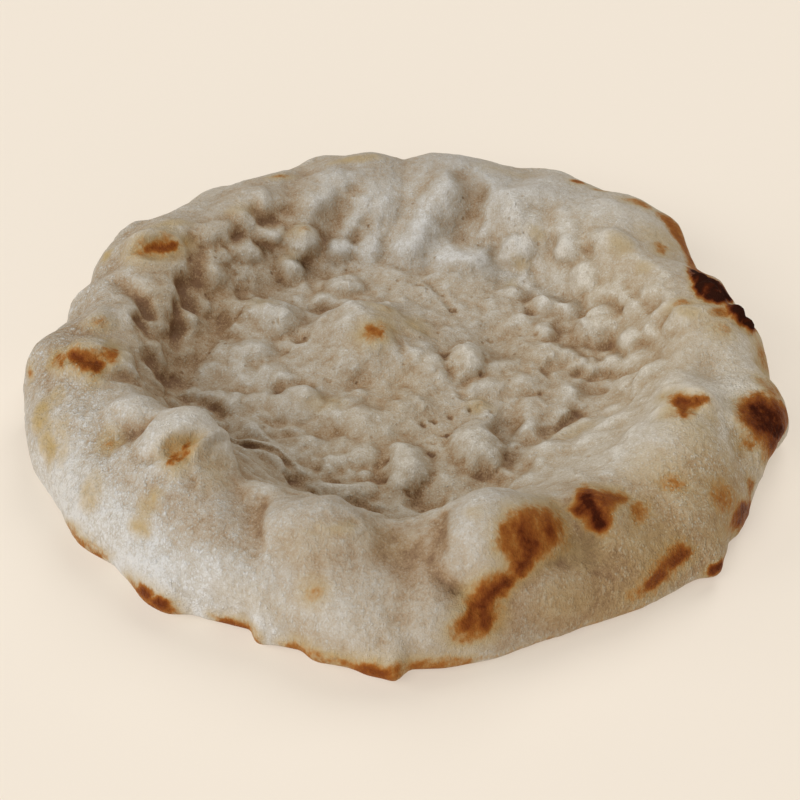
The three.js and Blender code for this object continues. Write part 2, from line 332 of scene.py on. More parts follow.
# ---------------------------------------------------------------- second layer: lumps, folds and pits
# Each is placed by a pixel of the 800 x 800 frame, cast onto the first layer.
# Lumps and hollows: pixel, half length and half width, turn on the surface
# (degrees from the picture's right, anticlockwise), rise.
LUMPS = (
    # left wall inside the rim
    (160, 291, 10.5, 8, -25, 2.0), (120, 312, 8, 8, 0, 2.0), (187, 318, 4.5, 4, 0, 1.2), (150, 262, 14, 5, 12, 1.1),
    (175, 272, 8, 5, 25, 1.3), (205, 307, 6, 4.5, 0, 1.2), (232, 309, 6, 5, 0, 1.5), (160, 323, 6, 6, 0, 1.4),
    (172, 336, 8, 7, 0, -1.2), (152, 346, 9, 4, -30, 1.2), (208, 272, 8, 7, 0, 1.8), (218, 255, 7, 4.5, 0, 1.5),
    # back wall, left half
    (245, 249, 8, 5.5, 0, 2.4), (273, 231, 6.5, 5.5, 0, 2.3), (312, 197, 9, 13, 10, 1.2), (372, 216, 12, 11, 0, 1.4),
    (303, 238, 8.2, 7.4, 0, 5.2), (290, 266, 6, 7.6, 15, 3.8), (340, 247, 6.8, 5.6, 0, 2.8), (369, 249, 6.4, 6.4, 0, 2.2),
    (240, 222, 9, 6, 20, 1.6), (212, 232, 10, 6, 25, 1.8), (262, 196, 12, 8, 15, 1.6), (330, 172, 9, 8, 0, 1.0),
    (252, 272, 8, 7, 0, 1.4), (325, 258, 5, 4, 0, 1.0), (345, 286, 9, 6, -15, 1.8), (372, 270, 7, 6, 0, 1.2),
    # back wall, the long slanting fold and what lies right of it
    (452, 184, 9, 9, 0, 1.0), (412, 244, 9, 10, 0, 0.9), (396, 274, 7, 8, 0, 1.0),
    (469, 229, 4.6, 5, 0, 0.8), (462, 260, 14, 11, 0, 2.1), (470, 274, 10, 9, 0, 1.5), (450, 268, 7, 8, 0, 0.8), (486, 264, 6, 7, 0, 0.8),
    (518, 251, 8.6, 6.4, 0, 2.2), (512, 215, 14, 12, 0, 2.0), (545, 225, 9, 9, 0, 1.4), (571, 250, 6, 8, 80, 2.0),
    (545, 304, 5.6, 8, 80, 2.4), (571, 309, 5.4, 4.8, 0, 1.9), (585, 276, 8, 7.6, 0, 2.2), (598, 325, 10.5, 9.5, 0, 3.4),
    (582, 334, 6, 6, 0, 1.2), (604, 312, 6, 4, 0, 1.2), (610, 240, 6, 12, 65, 1.8), (650, 291, 6, 6, 0, 1.2),
    (618, 288, 7, 8, 0, 1.4), (632, 305, 7, 6, 0, 1.5), (516, 290, 7, 6, 0, 1.2), (497, 304, 6, 5, 0, 1.0),
    (640, 222, 14, 9, -30, 1.2), (530, 196, 12, 8, 0, 1.0), (605, 205, 11, 8, -20, 1.2), (688, 314, 11, 5.5, 10, 2.0),
    # floor, left
    (264, 319, 15.5, 13, 15, 3.7), (248, 306, 8, 7, 30, 1.8), (258, 350, 8.2, 8, 0, 2.2), (290, 328, 6, 6, 0, 1.6),
    (297, 402, 10, 10, 0, 3.0), (232, 356, 9, 9, 0, 1.6), (250, 376, 9, 7, 0, 1.3), (212, 398, 6.6, 4.4, 0, 1.5),
    (192, 411, 10, 4.2, -8, 1.3), (205, 372, 7, 6, 0, 1.1), (190, 392, 8, 4.5, -10, 1.2), (276, 372, 6, 5, 0, 1.1),
    (236, 403, 6, 6, 0, 1.4), (262, 398, 7, 6, 0, 1.3),
    # floor, middle
    (372, 338, 21, 21, 0, 3.6), (345, 328, 12, 13, 40, 2.2), (372, 316, 12, 7, 0, 1.4), (425, 364, 9.5, 11, 20, 2.3),
    (466, 360, 7.4, 10.5, 0, 3.6), (498, 338, 11, 13, 0, -2.0), (500, 356, 7, 5, 0, -0.8), (384, 362, 8, 8, 0, 1.0),
    (325, 311, 8, 5, -10, -3.2), (345, 418, 11, 11, 0, 1.8), (378, 424, 9, 9, 0, 2.0), (410, 408, 8, 8, 0, 1.4),
    (480, 405, 4, 3.5, 0, 1.2), (326, 434, 8, 7, 0, -1.8), (490, 386, 8, 6, 0, 1.2), (355, 384, 9, 4, 0, -1.2),
    # floor, right
    (546, 331, 5, 5.4, 0, 1.9), (548, 352, 8, 8, 0, 1.7), (573, 360, 5, 5.4, 0, 1.7), (590, 365, 4.8, 5, 0, 1.6),
    (611, 362, 5, 5, 0, 1.6), (630, 338, 5.8, 5.4, 0, 1.9), (568, 390, 5.6, 7, 0, 1.5), (648, 333, 4.5, 6, 60, 1.2),
    (620, 385, 9, 5, 0, 1.4), (530, 404, 8, 7, 0, 1.2), (526, 380, 8, 6, 0, 1.2), (560, 408, 6, 7, 0, 1.4),
    (650, 372, 9, 5, 12, 1.8), (520, 320, 7, 6, 0, 1.2),
    # floor, front
    (477, 446, 10, 13, 10, 4.2), (480, 422, 8, 7, 0, 1.4), (405, 466, 9.6, 12.5, 0, 3.4), (395, 452, 5, 5, 0, 1.0),
    (540, 453, 8, 9, 0, 2.0), (530, 426, 6, 6, 0, 1.0), (506, 432, 5.6, 12, -20, -2.4), (424, 504, 7, 5.5, 0, -2.6),
    (446, 462, 6, 7, 0, 1.2), (452, 480, 8, 5, 0, 1.2), (362, 455, 8, 7, 0, 1.6), (335, 462, 6, 5, 0, 1.2),
    (345, 492, 11, 6, 8, 2.4), (365, 475, 3, 3, 0, 1.3), (348, 474, 3, 2.8, 0, 1.0), (326, 473, 3.4, 3, 0, 1.0),
    (293, 473, 4.4, 3.8, 0, 1.8), (312, 488, 7, 4, -10, 1.6), (270, 466, 8, 3.6, -28, 1.6), (306, 446, 7, 5, 0, 1.4),
    (258, 458, 20, 11, -28, 1.4), (248, 432, 8.5, 3.4, -8, 1.1), (262, 449, 8, 3.2, -14, 1.1), (228, 442, 7, 3.2, -32, 0.9), (284, 428, 7, 4, 0, 1.0),
    (590, 440, 9, 8, 0, 1.2), (612, 420, 10, 7, 10, 1.2), (500, 492, 9, 4, 0, 1.0),
    # rim, left and front
    (97, 321, 6.4, 5, 0, 2.2), (92, 358, 12, 8, -10, 2.2), (134, 408, 9, 8, 0, 1.8), 
    (165, 430, 5, 6, 60, 1.2), (205, 445, 8, 12, 60, 1.6), (300, 512, 13, 9, 0, 1.6), (340, 518, 9, 7, 0, 1.4),
    (280, 520, 7, 9, 0, 1.2), (478, 505, 8, 6, 20, 1.2), (535, 520, 14, 10, 0, 1.6), (476, 545, 9, 11, 0, 1.6),
    (684, 403, 9, 5, 0, 1.0), (640, 452, 14, 12, 0, 1.2),
    # the outer walls
    (72, 420, 10, 9, 0, 1.4), (112, 462, 11, 9, 0, 1.2), (160, 500, 13, 10, 0, 1.4), (214, 520, 12, 11, 0, 1.4),
    (250, 570, 13, 10, 0, 1.4), (330, 590, 12, 10, 0, 1.4), (395, 590, 11, 12, 0, 1.4), (440, 618, 12, 10, 0, 1.4),
    (560, 590, 13, 10, 0, 1.4), (632, 556, 12, 10, 0, 1.3), (700, 520, 12, 10, 0, 1.3), (360, 632, 13, 8, 0, 1.2),
)

# The rim's own lobes and the saddles between them, in the same form.
RIM_LUMPS = (
    (179, 447, 19, 16, 0, 3.9), (134, 406, 10, 9, 0, 1.5), (90, 358, 14, 10, -8, 1.2), (315, 530, 19, 14, 0, 2.0), (505, 537, 21, 17, 0, 3.0),
    (470, 548, 10, 14, 0, 1.0), (600, 506, 11, 9, 0, 1.6), (690, 432, 21, 18, 0, 1.2), (765, 425, 11, 14, 0, 1.2), (245, 515, 8, 16, 10, -1.2),
    (404, 558, 9, 20, 0, -1.2), (573, 532, 6, 13, 0, -1.4), (655, 508, 9, 14, 0, -0.8), (215, 560, 14, 10, 0, 0.8), (340, 610, 16, 10, 0, 0.8),
    (38, 416, 5, 7, 0, 1.6), (45, 444, 4.5, 7, 0, 1.3), (88, 494, 5, 7, -20, 0.9), (137, 525, 4, 4, 0, 0.7), (112, 470, 16, 13, 0, 0.7), (430, 615, 12, 13, 0, 0.8), (80, 420, 14, 12, 0, 0.7),
    (699, 277, 4.0, 4.0, 0, 3.0), (707, 288, 4.6, 4.0, 0, 3.4), (716, 297, 4.0, 3.6, 0, 3.0), (735, 311, 4.0, 4.0, 0, 3.2), (746, 322, 3.6, 3.6, 0, 3.0),
)

# Long soft folds: half width, rise and the pixels of the line.
FOLDS = (
    (8.6, 4.4, (457, 172), (446, 194), (430, 219), (413, 246), (399, 272)), (12.0, 1.8, (326, 170), (318, 190), (308, 214)),
    (8.0, 1.8, (262, 186), (238, 204), (214, 226)), (6.0, 1.6, (205, 262), (222, 286), (228, 318)), 
    (8.0, 1.8, (500, 190), (520, 230), (540, 262)), (7.0, 1.5, (566, 205), (572, 240), (578, 268)), (8.0, 1.6, (612, 212), (606, 250), (598, 284)),
    (5.0, 1.3, (560, 398), (584, 404), (622, 392)), (3.6, 0.7, (236, 420), (268, 440), (300, 456)), (3.6, 0.7, (226, 436), (256, 452), (286, 472)),
    (4.5, 1.4, (546, 440), (566, 432), (590, 418)),
)

# Folds of the rim, in the same form.
RIM_FOLDS = (
    (3.4, 2.4, (205, 436), (200, 448), (191, 464)), (4.0, 1.6, (124, 352), (128, 366), (133, 384)), (3.2, 1.2, (72, 346), (90, 343), (112, 345)),
    (4.0, 1.4, (660, 391), (684, 388), (706, 396), (718, 410)), (4.6, 1.4, (652, 320), (668, 306), (690, 309)),
)
# Sunken blisters: pixel, half length and half width, turn, depth, rise of the ring round it.
POCKETS = (
    (157, 247, 8.6, 5.4, 6, 2.4, 1.3), (87, 359, 9.6, 4.0, -6, 3.0, 0.8), (181, 451, 5.6, 3.6, 58, 3.2, 0.9), (686, 406, 5.6, 4.2, 0, 1.4, 0.4),
)

# Lobes and dips of the outer wall on the side that is out of view: bearing,
# place on the section, half length, half height, rise.
BACK_LUMPS = (
    (62, 2.55, 17, 13, 3.0), (82, 2.7, 15, 12, 2.4), (106, 2.55, 18, 13, 3.2), (128, 2.65, 15, 13, 2.6), (148, 2.55, 16, 13, 2.8), (36, 2.6, 16, 13, 2.8),
    (72, 2.6, 8, 14, -2.2), (94, 2.65, 9, 14, -2.4), (117, 2.6, 8, 14, -2.2), (138, 2.65, 8, 13, -2.2), (49, 2.65, 8, 13, -2.2), (20, 2.65, 10, 12, 2.0),
    (66, 2.85, 7, 6, 1.4), (101, 2.85, 6, 5, 1.3), (122, 2.8, 6, 6, 1.3), (152, 2.85, 6, 5, 1.2), (41, 2.85, 6, 5, 1.3),
)

# Creases: half width, depth and the pixels of the line.
CREASES = (
    (4.6, 2.2, (193, 237), (195, 254), (197, 279)), (3.8, 2.2, (181, 282), (188, 294), (194, 308)),
    (3.4, 2.8, (114, 279), (130, 290), (142, 303), (150, 313)), (4.0, 3.0, (139, 322), (147, 337)),
    (3.2, 2.8, (176, 309), (178, 321), (178, 331)), (2.4, 1.6, (186, 236), (184, 252), (172, 259), (150, 263)),
    (5.0, 2.6, (151, 365), (158, 376), (173, 381)), (4.4, 3.2, (229, 223), (236, 236)), (2.6, 1.6, (256, 247), (268, 250)),
    (7.0, 3.0, (304, 173), (300, 190), (290, 206), (279, 221)), (3.4, 2.6, (257, 211), (272, 223)),
    (5.0, 3.2, (351, 192), (341, 205), (333, 216), (325, 229)), (2.8, 2.2, (365, 224), (367, 229)), (2.6, 2.4, (357, 234), (357, 239)),
    (4.2, 1.7, (311, 262), (317, 284), (304, 296)), (3.0, 1.6, (322, 268), (326, 277)), (3.6, 1.8, (320, 246), (327, 258), (331, 262)),
    (5.6, 6.0, (466, 179), (475, 199), (472, 216), (464, 236)), (3.0, 0.8, (440, 240), (462, 239)),
    (3.0, 2.6, (486, 244), (496, 250)), (3.0, 1.5, (496, 256), (494, 278)),
    (3.4, 2.2, (553, 239), (556, 250), (550, 268), (538, 278)), (3.0, 2.4, (535, 276), (546, 283), (560, 292), (568, 299), (578, 306), (586, 314)),
    (3.4, 2.4, (531, 299), (531, 313)), (3.0, 2.0, (612, 308), (616, 316)), (3.4, 1.6, (603, 222), (599, 240), (592, 248)),
    (2.6, 1.3, (629, 284), (634, 294), (643, 302)), (3.4, 1.8, (650, 300), (660, 309)), (3.6, 1.3, (583, 245), (580, 262), (572, 280)),
    (3.0, 1.8, (560, 324), (563, 335), (571, 346)), (3.6, 2.2, (608, 338), (607, 347)), (4.0, 2.0, (641, 348), (653, 355)),
    (2.2, 1.7, (546, 373), (558, 366), (568, 364)), (2.4, 1.9, (574, 372), (590, 377), (606, 377), (626, 371), (642, 366)),
    (4.0, 2.0, (592, 382), (594, 389)), (2.0, 1.3, (600, 395), (616, 396), (631, 398)), (2.6, 2.1, (545, 433), (556, 430), (560, 427), (570, 421), (578, 415)),
    (3.2, 1.8, (509, 459), (516, 471)), (3.0, 1.8, (486, 472), (498, 480)), (2.6, 1.4, (398, 346), (402, 360), (411, 373)),
    (2.6, 1.6, (447, 358), (453, 374)), (2.4, 1.4, (240, 325), (262, 338), (284, 353)), (2.6, 1.9, (289, 331), (301, 341)),
    (2.6, 1.6, (292, 383), (302, 383), (314, 386)), (2.4, 1.3, (280, 382), (278, 396)), (3.0, 1.8, (207, 404), (215, 411), (223, 417)),
    (2.4, 1.1, (220, 431), (240, 429), (258, 436)), (2.4, 1.1, (240, 438), (262, 445)), (2.8, 1.2, (240, 452), (264, 460), (286, 472)),
    (2.2, 1.4, (262, 420), (276, 425)), (2.2, 1.4, (266, 434), (282, 435)), (2.4, 1.6, (288, 474), (296, 476)), (3.0, 2.0, (294, 484), (304, 484)),
    (3.0, 1.6, (303, 468), (314, 469)), (3.0, 2.4, (383, 470), (383, 481)), (2.6, 1.8, (386, 457), (384, 464)), (2.2, 1.2, (360, 302), (400, 305)),
    (2.6, 1.2, (338, 484), (358, 484)), (5.0, 3.0, (722, 411), (729, 425), (737, 441)), (2.6, 1.0, (120, 420), (132, 436), (140, 452)),
    (3.0, 2.2, (98, 372), (120, 376), (136, 383)), (2.4, 1.2, (604, 350), (620, 356)), (2.6, 1.3, (434, 284), (447, 303), (452, 311)),
    (3.4, 2.1, (150, 422), (138, 431), (124, 441), (106, 458)), (4.2, 1.7, (586, 548), (560, 561), (538, 568), (520, 582), (506, 600), (500, 622)),
    (2.4, 4.0, (195, 440), (190, 450), (184, 461)), (3.0, 2.2, (84, 362), (98, 367)), (4.0, 1.6, (722, 400), (700, 388), (668, 386)),
    (6.0, 1.0, (388, 524), (400, 548), (406, 580), (406, 612)), (3.0, 1.9, (441, 518), (435, 538), (433, 556), (443, 574), (458, 585)), (1.8, 0.9, (318, 522), (334, 527), (350, 528)), (1.6, 0.7, (304, 530), (322, 534)), (1.6, 0.7, (338, 520), (352, 526)), (2.2, 1.6, (443, 534), (446, 552)), (2.4, 1.2, (461, 545), (466, 566), (464, 588)), (4.5, 1.3, (262, 503), (254, 525), (249, 548)),
    (5.0, 0.9, (369, 514), (384, 532), (392, 556)), (4.0, 2.1, (566, 508), (580, 526), (588, 540), (592, 556)), (2.6, 1.9, (172, 468), (156, 464), (142, 462)), (2.4, 1.6, (180, 468), (188, 478), (192, 488)), (2.4, 1.2, (186, 466), (204, 470), (222, 470)), (2.6, 1.3, (160, 488), (150, 500)),
    (2.6, 1.3, (470, 380), (462, 392), (468, 400)), (2.0, 1.0, (515, 405), (520, 398), (540, 394), (548, 404)),
)

# Open pores: pixel, radius, depth.
PORES = (
    (424, 336, 1.5, 1.8), (440, 334, 1.3, 1.4), (491, 334, 1.6, 1.8), (505, 338, 1.3, 1.4), (520, 342, 1.3, 1.3), (535, 336, 1.5, 1.4),
    (452, 310, 1.5, 1.6), (480, 377, 1.5, 1.9), (467, 413, 1.9, 2.4), (450, 418, 1.8, 2.2), (436, 423, 2.2, 2.2), (444, 436, 1.7, 2.0),
    (431, 444, 1.6, 1.8), (432, 454, 1.9, 2.0), (457, 430, 1.4, 1.4), (559, 428, 2.0, 2.2), (540, 395, 1.5, 1.4), (422, 426, 1.4, 1.6),
    (383, 481, 1.8, 1.6), (384, 463, 1.5, 1.6), (463, 465, 1.8, 1.2), (529, 440, 1.3, 1.3), (427, 487, 1.6, 1.6), (608, 463, 2.2, 1.2),
    (567, 450, 1.8, 1.0), (588, 456, 1.8, 0.9), (348, 269, 1.4, 1.5), (358, 272, 1.3, 1.3), (235, 276, 1.5, 1.3), (246, 283, 1.6, 1.5),
    (279, 282, 1.5, 1.6), (204, 347, 1.5, 1.4), (226, 401, 1.3, 1.2), (280, 318, 1.3, 1.2), (222, 318, 1.3, 1.2), (280, 335, 1.3, 1.2),
    (292, 401, 1.1, 0.9), (330, 380, 1.6, 1.2), (421, 287, 1.5, 1.6), (429, 293, 1.5, 1.4), (503, 372, 1.3, 1.1), (353, 396, 1.6, 1.2),
    (345, 397, 1.3, 1.0), (426, 325, 1.4, 1.0), (526, 355, 1.3, 1.0), (550, 427, 1.3, 1.2), (412, 448, 1.4, 1.2), (414, 456, 1.3, 1.1),
    (448, 340, 1.3, 1.0), (423, 405, 1.4, 1.2), (428, 412, 1.4, 1.2), (518, 425, 1.4, 1.0), (515, 449, 1.4, 1.2), (493, 415, 1.4, 1.2),
    (409, 495, 1.6, 1.4), (543, 384, 1.2, 1.0), (308, 453, 1.8, 1.2), (274, 248, 1.3, 1.2), (276, 392, 1.6, 1.2), (636, 388, 1.4, 1.0),
)



def perlin(p, size, seed):
    q = (p / size + np.array([17.3, 5.1, 9.7]) * seed).tolist()
    return np.array([noise.noise(v) for v in q])


def billow(p, size, seed, octaves=2):
    """Rounded swellings with creases between them, about 0..1."""
    out, amp, total = np.zeros(len(p)), 1.0, 0.0
    for k in range(octaves):
        n = perlin(p, size / 2 ** k, seed + 3 * k)
        out += amp * np.minimum(1, 1.9 * np.sqrt(n * n + 0.006))
        total += amp
        amp *= 0.5
    return out / total


def warp(p, size, amount, seed):
    return p + amount * np.stack([perlin(p, size, seed + k) for k in range(3)], -1)


N1 = vertex_normals(P)
N1S = blurred(N1, 14)
N1S /= np.linalg.norm(N1S, axis=1, keepdims=True)
TREE = tree_of(P)


def cast(u, v):
    """Point of the surface at a pixel, with its vertex of the mesh."""
    hit, normal, index, _ = TREE.ray_cast(Vector(EYE), Vector(pixel_ray(u, v)))
    if hit is None:
        return None
    tri = TRI[index]
    return np.array(hit), tri[np.argmin(np.linalg.norm(P[tri] - np.array(hit), axis=1))]


def vertex_at(bearing, at):
    """Vertex of the mesh nearest to a bearing and a place on the section."""
    return int(np.argmin(np.abs(np.angle(np.exp(1j * (TH - math.radians(bearing))))) * 4 + np.abs(ST - at)))


def lump_rise(p, table, power):
    out = np.zeros(len(p))
    for u, v, a, b, turn, rise in table:
        got = cast(u, v + 1.0 * rise)
        if got is None:
            continue
        c, k = got
        n = N1S[k]
        e1 = RIGHT - n * (n @ RIGHT)
        e1 /= np.linalg.norm(e1)
        e2 = np.cross(n, e1)
        t = math.radians(turn)
        f1, f2 = math.cos(t) * e1 + math.sin(t) * e2, -math.sin(t) * e1 + math.cos(t) * e2
        dome = rise / min(a, b) > 0.28                  # tall ones stand as round bubbles, low ones fade out
        d = (0.35 * p + 0.65 * P if dome else p) - c
        q = (d @ f1 / a) ** 2 + (d @ f2 / b) ** 2 + (d @ n / max(a, b)) ** 2
        out += rise * (0.75 + 0.028 * (a + b)) * (np.maximum(0, 1 - q) if dome else np.maximum(0, 1 - q / 1.6) ** power)
    return out


def along_line(p, pts):
    """Distance to a line, and how far along it, 0 to 1."""
    best, at, gone = np.full(len(p), 1e9), np.zeros(len(p)), 0.0
    total = sum(np.linalg.norm(b - a) for a, b in zip(pts[:-1], pts[1:]))
    for a, b in zip(pts[:-1], pts[1:]):
        ab = b - a
        t = np.clip((p - a) @ ab / max(ab @ ab, 1e-9), 0, 1)
        d = np.linalg.norm(p - a - t[:, None] * ab, axis=1)
        at = np.where(d < best, (gone + t * np.linalg.norm(ab)) / total, at)
        best = np.minimum(best, d)
        gone += np.linalg.norm(ab)
    return best, at


def line_distance(p, pts):
    best = np.full(len(p), 1e9)
    for a, b in zip(pts[:-1], pts[1:]):
        ab = b - a
        t = np.clip((p - a) @ ab / max(ab @ ab, 1e-9), 0, 1)
        best = np.minimum(best, np.linalg.norm(p - a - t[:, None] * ab, axis=1))
    return best


WARPED = warp(P, 10.0, 2.4, 1) + warp(P, 4.0, 0.8, 5) - P
LUMP = lump_rise(WARPED, LUMPS, 2.0)
FOLD_SPACE = warp(P, 16.0, 1.6, 3)
for half, rise, *line in FOLDS:
    pts = [g[0] for g in (cast(u, v) for u, v in line) if g is not None]
    away, at = along_line(FOLD_SPACE, pts)
    LUMP = LUMP + rise * np.maximum(0, 1 - (away / (1.2 * half)) ** 2) ** 2 * smooth(0.3 + 3 * at) * smooth(0.3 + 3 * (1 - at))
CREASE = np.zeros(len(P))
for half, depth, *line in CREASES:
    pts = [g[0] for g in (cast(u, v) for u, v in line) if g is not None]
    if len(pts) > 1:
        CREASE = CREASE + depth * np.maximum(0, 1 - (line_distance(WARPED, pts) / (1.45 * half)) ** 2) ** 2
CREASE = 0.68 * CREASE
RIM_RELIEF = lump_rise(WARPED, RIM_LUMPS, 2.0)
for half, rise, *line in RIM_FOLDS:
    away, at = along_line(FOLD_SPACE, [cast(u, v)[0] for u, v in line])
    RIM_RELIEF = RIM_RELIEF + rise * np.maximum(0, 1 - (away / (1.2 * half)) ** 2) ** 2 * smooth(0.2 + 3 * at) * smooth(0.2 + 3 * (1 - at))
POCKET_SPACE = warp(P, 6.0, 1.5, 6)
for u, v, a, b, turn, depth, ring in POCKETS:
    c, k = cast(u, v)
    n = N1S[k]
    e1 = RIGHT - n * (n @ RIGHT)
    e1 /= np.linalg.norm(e1)
    e2 = np.cross(n, e1)
    t = math.radians(turn)
    d = POCKET_SPACE - c
    q = np.sqrt((d @ (math.cos(t) * e1 + math.sin(t) * e2) / a) ** 2 + (d @ (math.cos(t) * e2 - math.sin(t) * e1) / b) ** 2 + (d @ n / a) ** 2)
    RIM_RELIEF = RIM_RELIEF - depth * np.maximum(0, 1 - q * q) ** 1.3 + ring * np.exp(-((q - 1.25) / 0.32) ** 2)
for bearing, at, a, b, rise in BACK_LUMPS:
    k = vertex_at(bearing, at)
    e1 = np.array([-math.sin(math.radians(bearing)), math.cos(math.radians(bearing)), 0.0])
    d = WARPED - P[k]
    q = (d @ e1 / a) ** 2 + (d @ np.cross(N1S[k], e1) / b) ** 2 + (d @ N1S[k] / max(a, b)) ** 2
    RIM_RELIEF = RIM_RELIEF + rise * np.maximum(0, 1 - q) ** 2 * smooth((ST - 2.35) / 0.25)
PORE = np.zeros(len(P))
PORE_SPACE = warp(P, 3.0, 1.7, 8)
for u, v, radius, depth in PORES:
    got = cast(u, v)
    if got is not None:
        q = ((PORE_SPACE - got[0]) ** 2).sum(1) / (0.8 * radius) ** 2
        PORE = np.maximum(PORE, 0.55 * depth * np.maximum(0, 1 - q) ** 1.2)
INNER = smooth((2.05 - ST) / 0.35)
CALM = np.clip(1.1 * lobe(TH, -36, 34) * smooth((np.hypot(P[:, 0], P[:, 1]) - 52) / 16), 0, 1)    # smooth inner wall, front right


def scatter(count, lo, hi, rise, seed, weight):
    """Small swellings strewn over the mesh, the higher one winning where two meet."""
    rng = np.random.default_rng(seed)
    space = warp(P, 3.0, 0.9, seed)
    tree = KDTree(len(space))
    for i, p in enumerate(space):
        tree.insert(p, i)
    tree.balance()
    out = np.zeros(len(P))
    picks = rng.choice(len(P), count, p=weight / weight.sum())
    for i in picks:
        r = lo * (hi / lo) ** rng.random()
        h = rise * r * (0.5 + 0.8 * rng.random())
        for _, j, d in tree.find_range(space[i], r):
            out[j] = max(out[j], h * (1 - (d / r) ** 2) ** 2)
    return out


STREWN = (scatter(300, 4.5, 9.0, 0.15, 101, INNER * (1 - 0.8 * CALM)) + scatter(2000, 2.0, 4.2, 0.13, 102, INNER * (1 - 0.7 * CALM))
          + scatter(1500, 1.6, 3.0, 0.08, 103, (1 - INNER) * TOP))
_r, _t = np.hypot(WARPED[:, 0], WARPED[:, 1]), np.arctan2(WARPED[:, 1], WARPED[:, 0])
CREPE = perlin(np.stack([_r / 2.8, _t * 70 / 9.0, np.zeros(len(_r))], -1), 1.0, 81)
CREPE = 1.1 * CREPE * lobe(TH, -125, 34) * smooth((_r - 44) / 14) * INNER
PUFF = billow(WARPED, 30.0, 11) * 2.4 + billow(WARPED, 13.0, 21, 1) * 1.3
PUFF = PUFF - PUFF.mean()
SOFT = 0.9 * perlin(P, 22.0, 31) + 0.45 * perlin(P, 8.0, 32)
FINE = 0.24 * perlin(WARPED, 3.4, 33)
BACK_WALL = lobe(TH, 68, 62) * smooth((ST - 0.85) / 0.3) * smooth((2.4 - ST) / 0.3)
CREASE = CREASE * (1 - 0.24 * BACK_WALL)
RELIEF = LUMP * (0.72 + 0.48 * INNER) * (1 + 0.30 * lobe(TH, 48, 30) * BACK_WALL) + RIM_RELIEF - CREASE + STREWN + CREPE + 0.38 * PUFF * INNER * (1 - 0.6 * CALM) + 0.6 * SOFT + FINE * (0.3 + 0.55 * INNER)
P = P + N1S * (RELIEF * TOP)[:, None]
P = P - blurred(vertex_normals(P), 3) * (PORE * TOP)[:, None]

# ---------------------------------------------------------------- colour fields, one value per vertex
P[:, 2] = np.where(ST >= 4, 0.0, np.maximum(P[:, 2], 0.05))
NORMAL = vertex_normals(P)
TREE = tree_of(P)


def openness(p, n, rays=18, reach=28.0):
    """Share of the sky above each point that the crust itself leaves free."""
    k = np.arange(rays)
    r = np.sqrt((k + 0.5) / rays)
    a = k * 2.399963
    local = np.stack([r * np.cos(a), r * np.sin(a), np.sqrt(1 - r * r)], -1)
    side = np.where(np.abs(n[:, 2:3]) < 0.9, np.array([[0.0, 0.0, 1.0]]), np.array([[1.0, 0.0, 0.0]]))
    t1 = np.cross(side, n)
    t1 /= np.linalg.norm(t1, axis=1, keepdims=True) + 1e-12
    t2 = np.cross(n, t1)
    out = np.ones(len(p))
    cast_ray = TREE.ray_cast
    for i in np.nonzero(ST < 3.2)[0]:
        start = Vector(p[i] + 0.15 * n[i])
        dirs = local[:, :1] * t1[i] + local[:, 1:2] * t2[i] + local[:, 2:] * n[i]
        free = 0
        for d in dirs.tolist():
            if cast_ray(start, d, reach)[0] is None:
                free += 1
        out[i] = free / rays
    return out


OPEN = blurred(openness(P, NORMAL), 2)
BULGE_S = ((P - blurred(P, 10)) * NORMAL).sum(1)
BULGE_M = ((P - blurred(P, 60)) * NORMAL).sum(1)

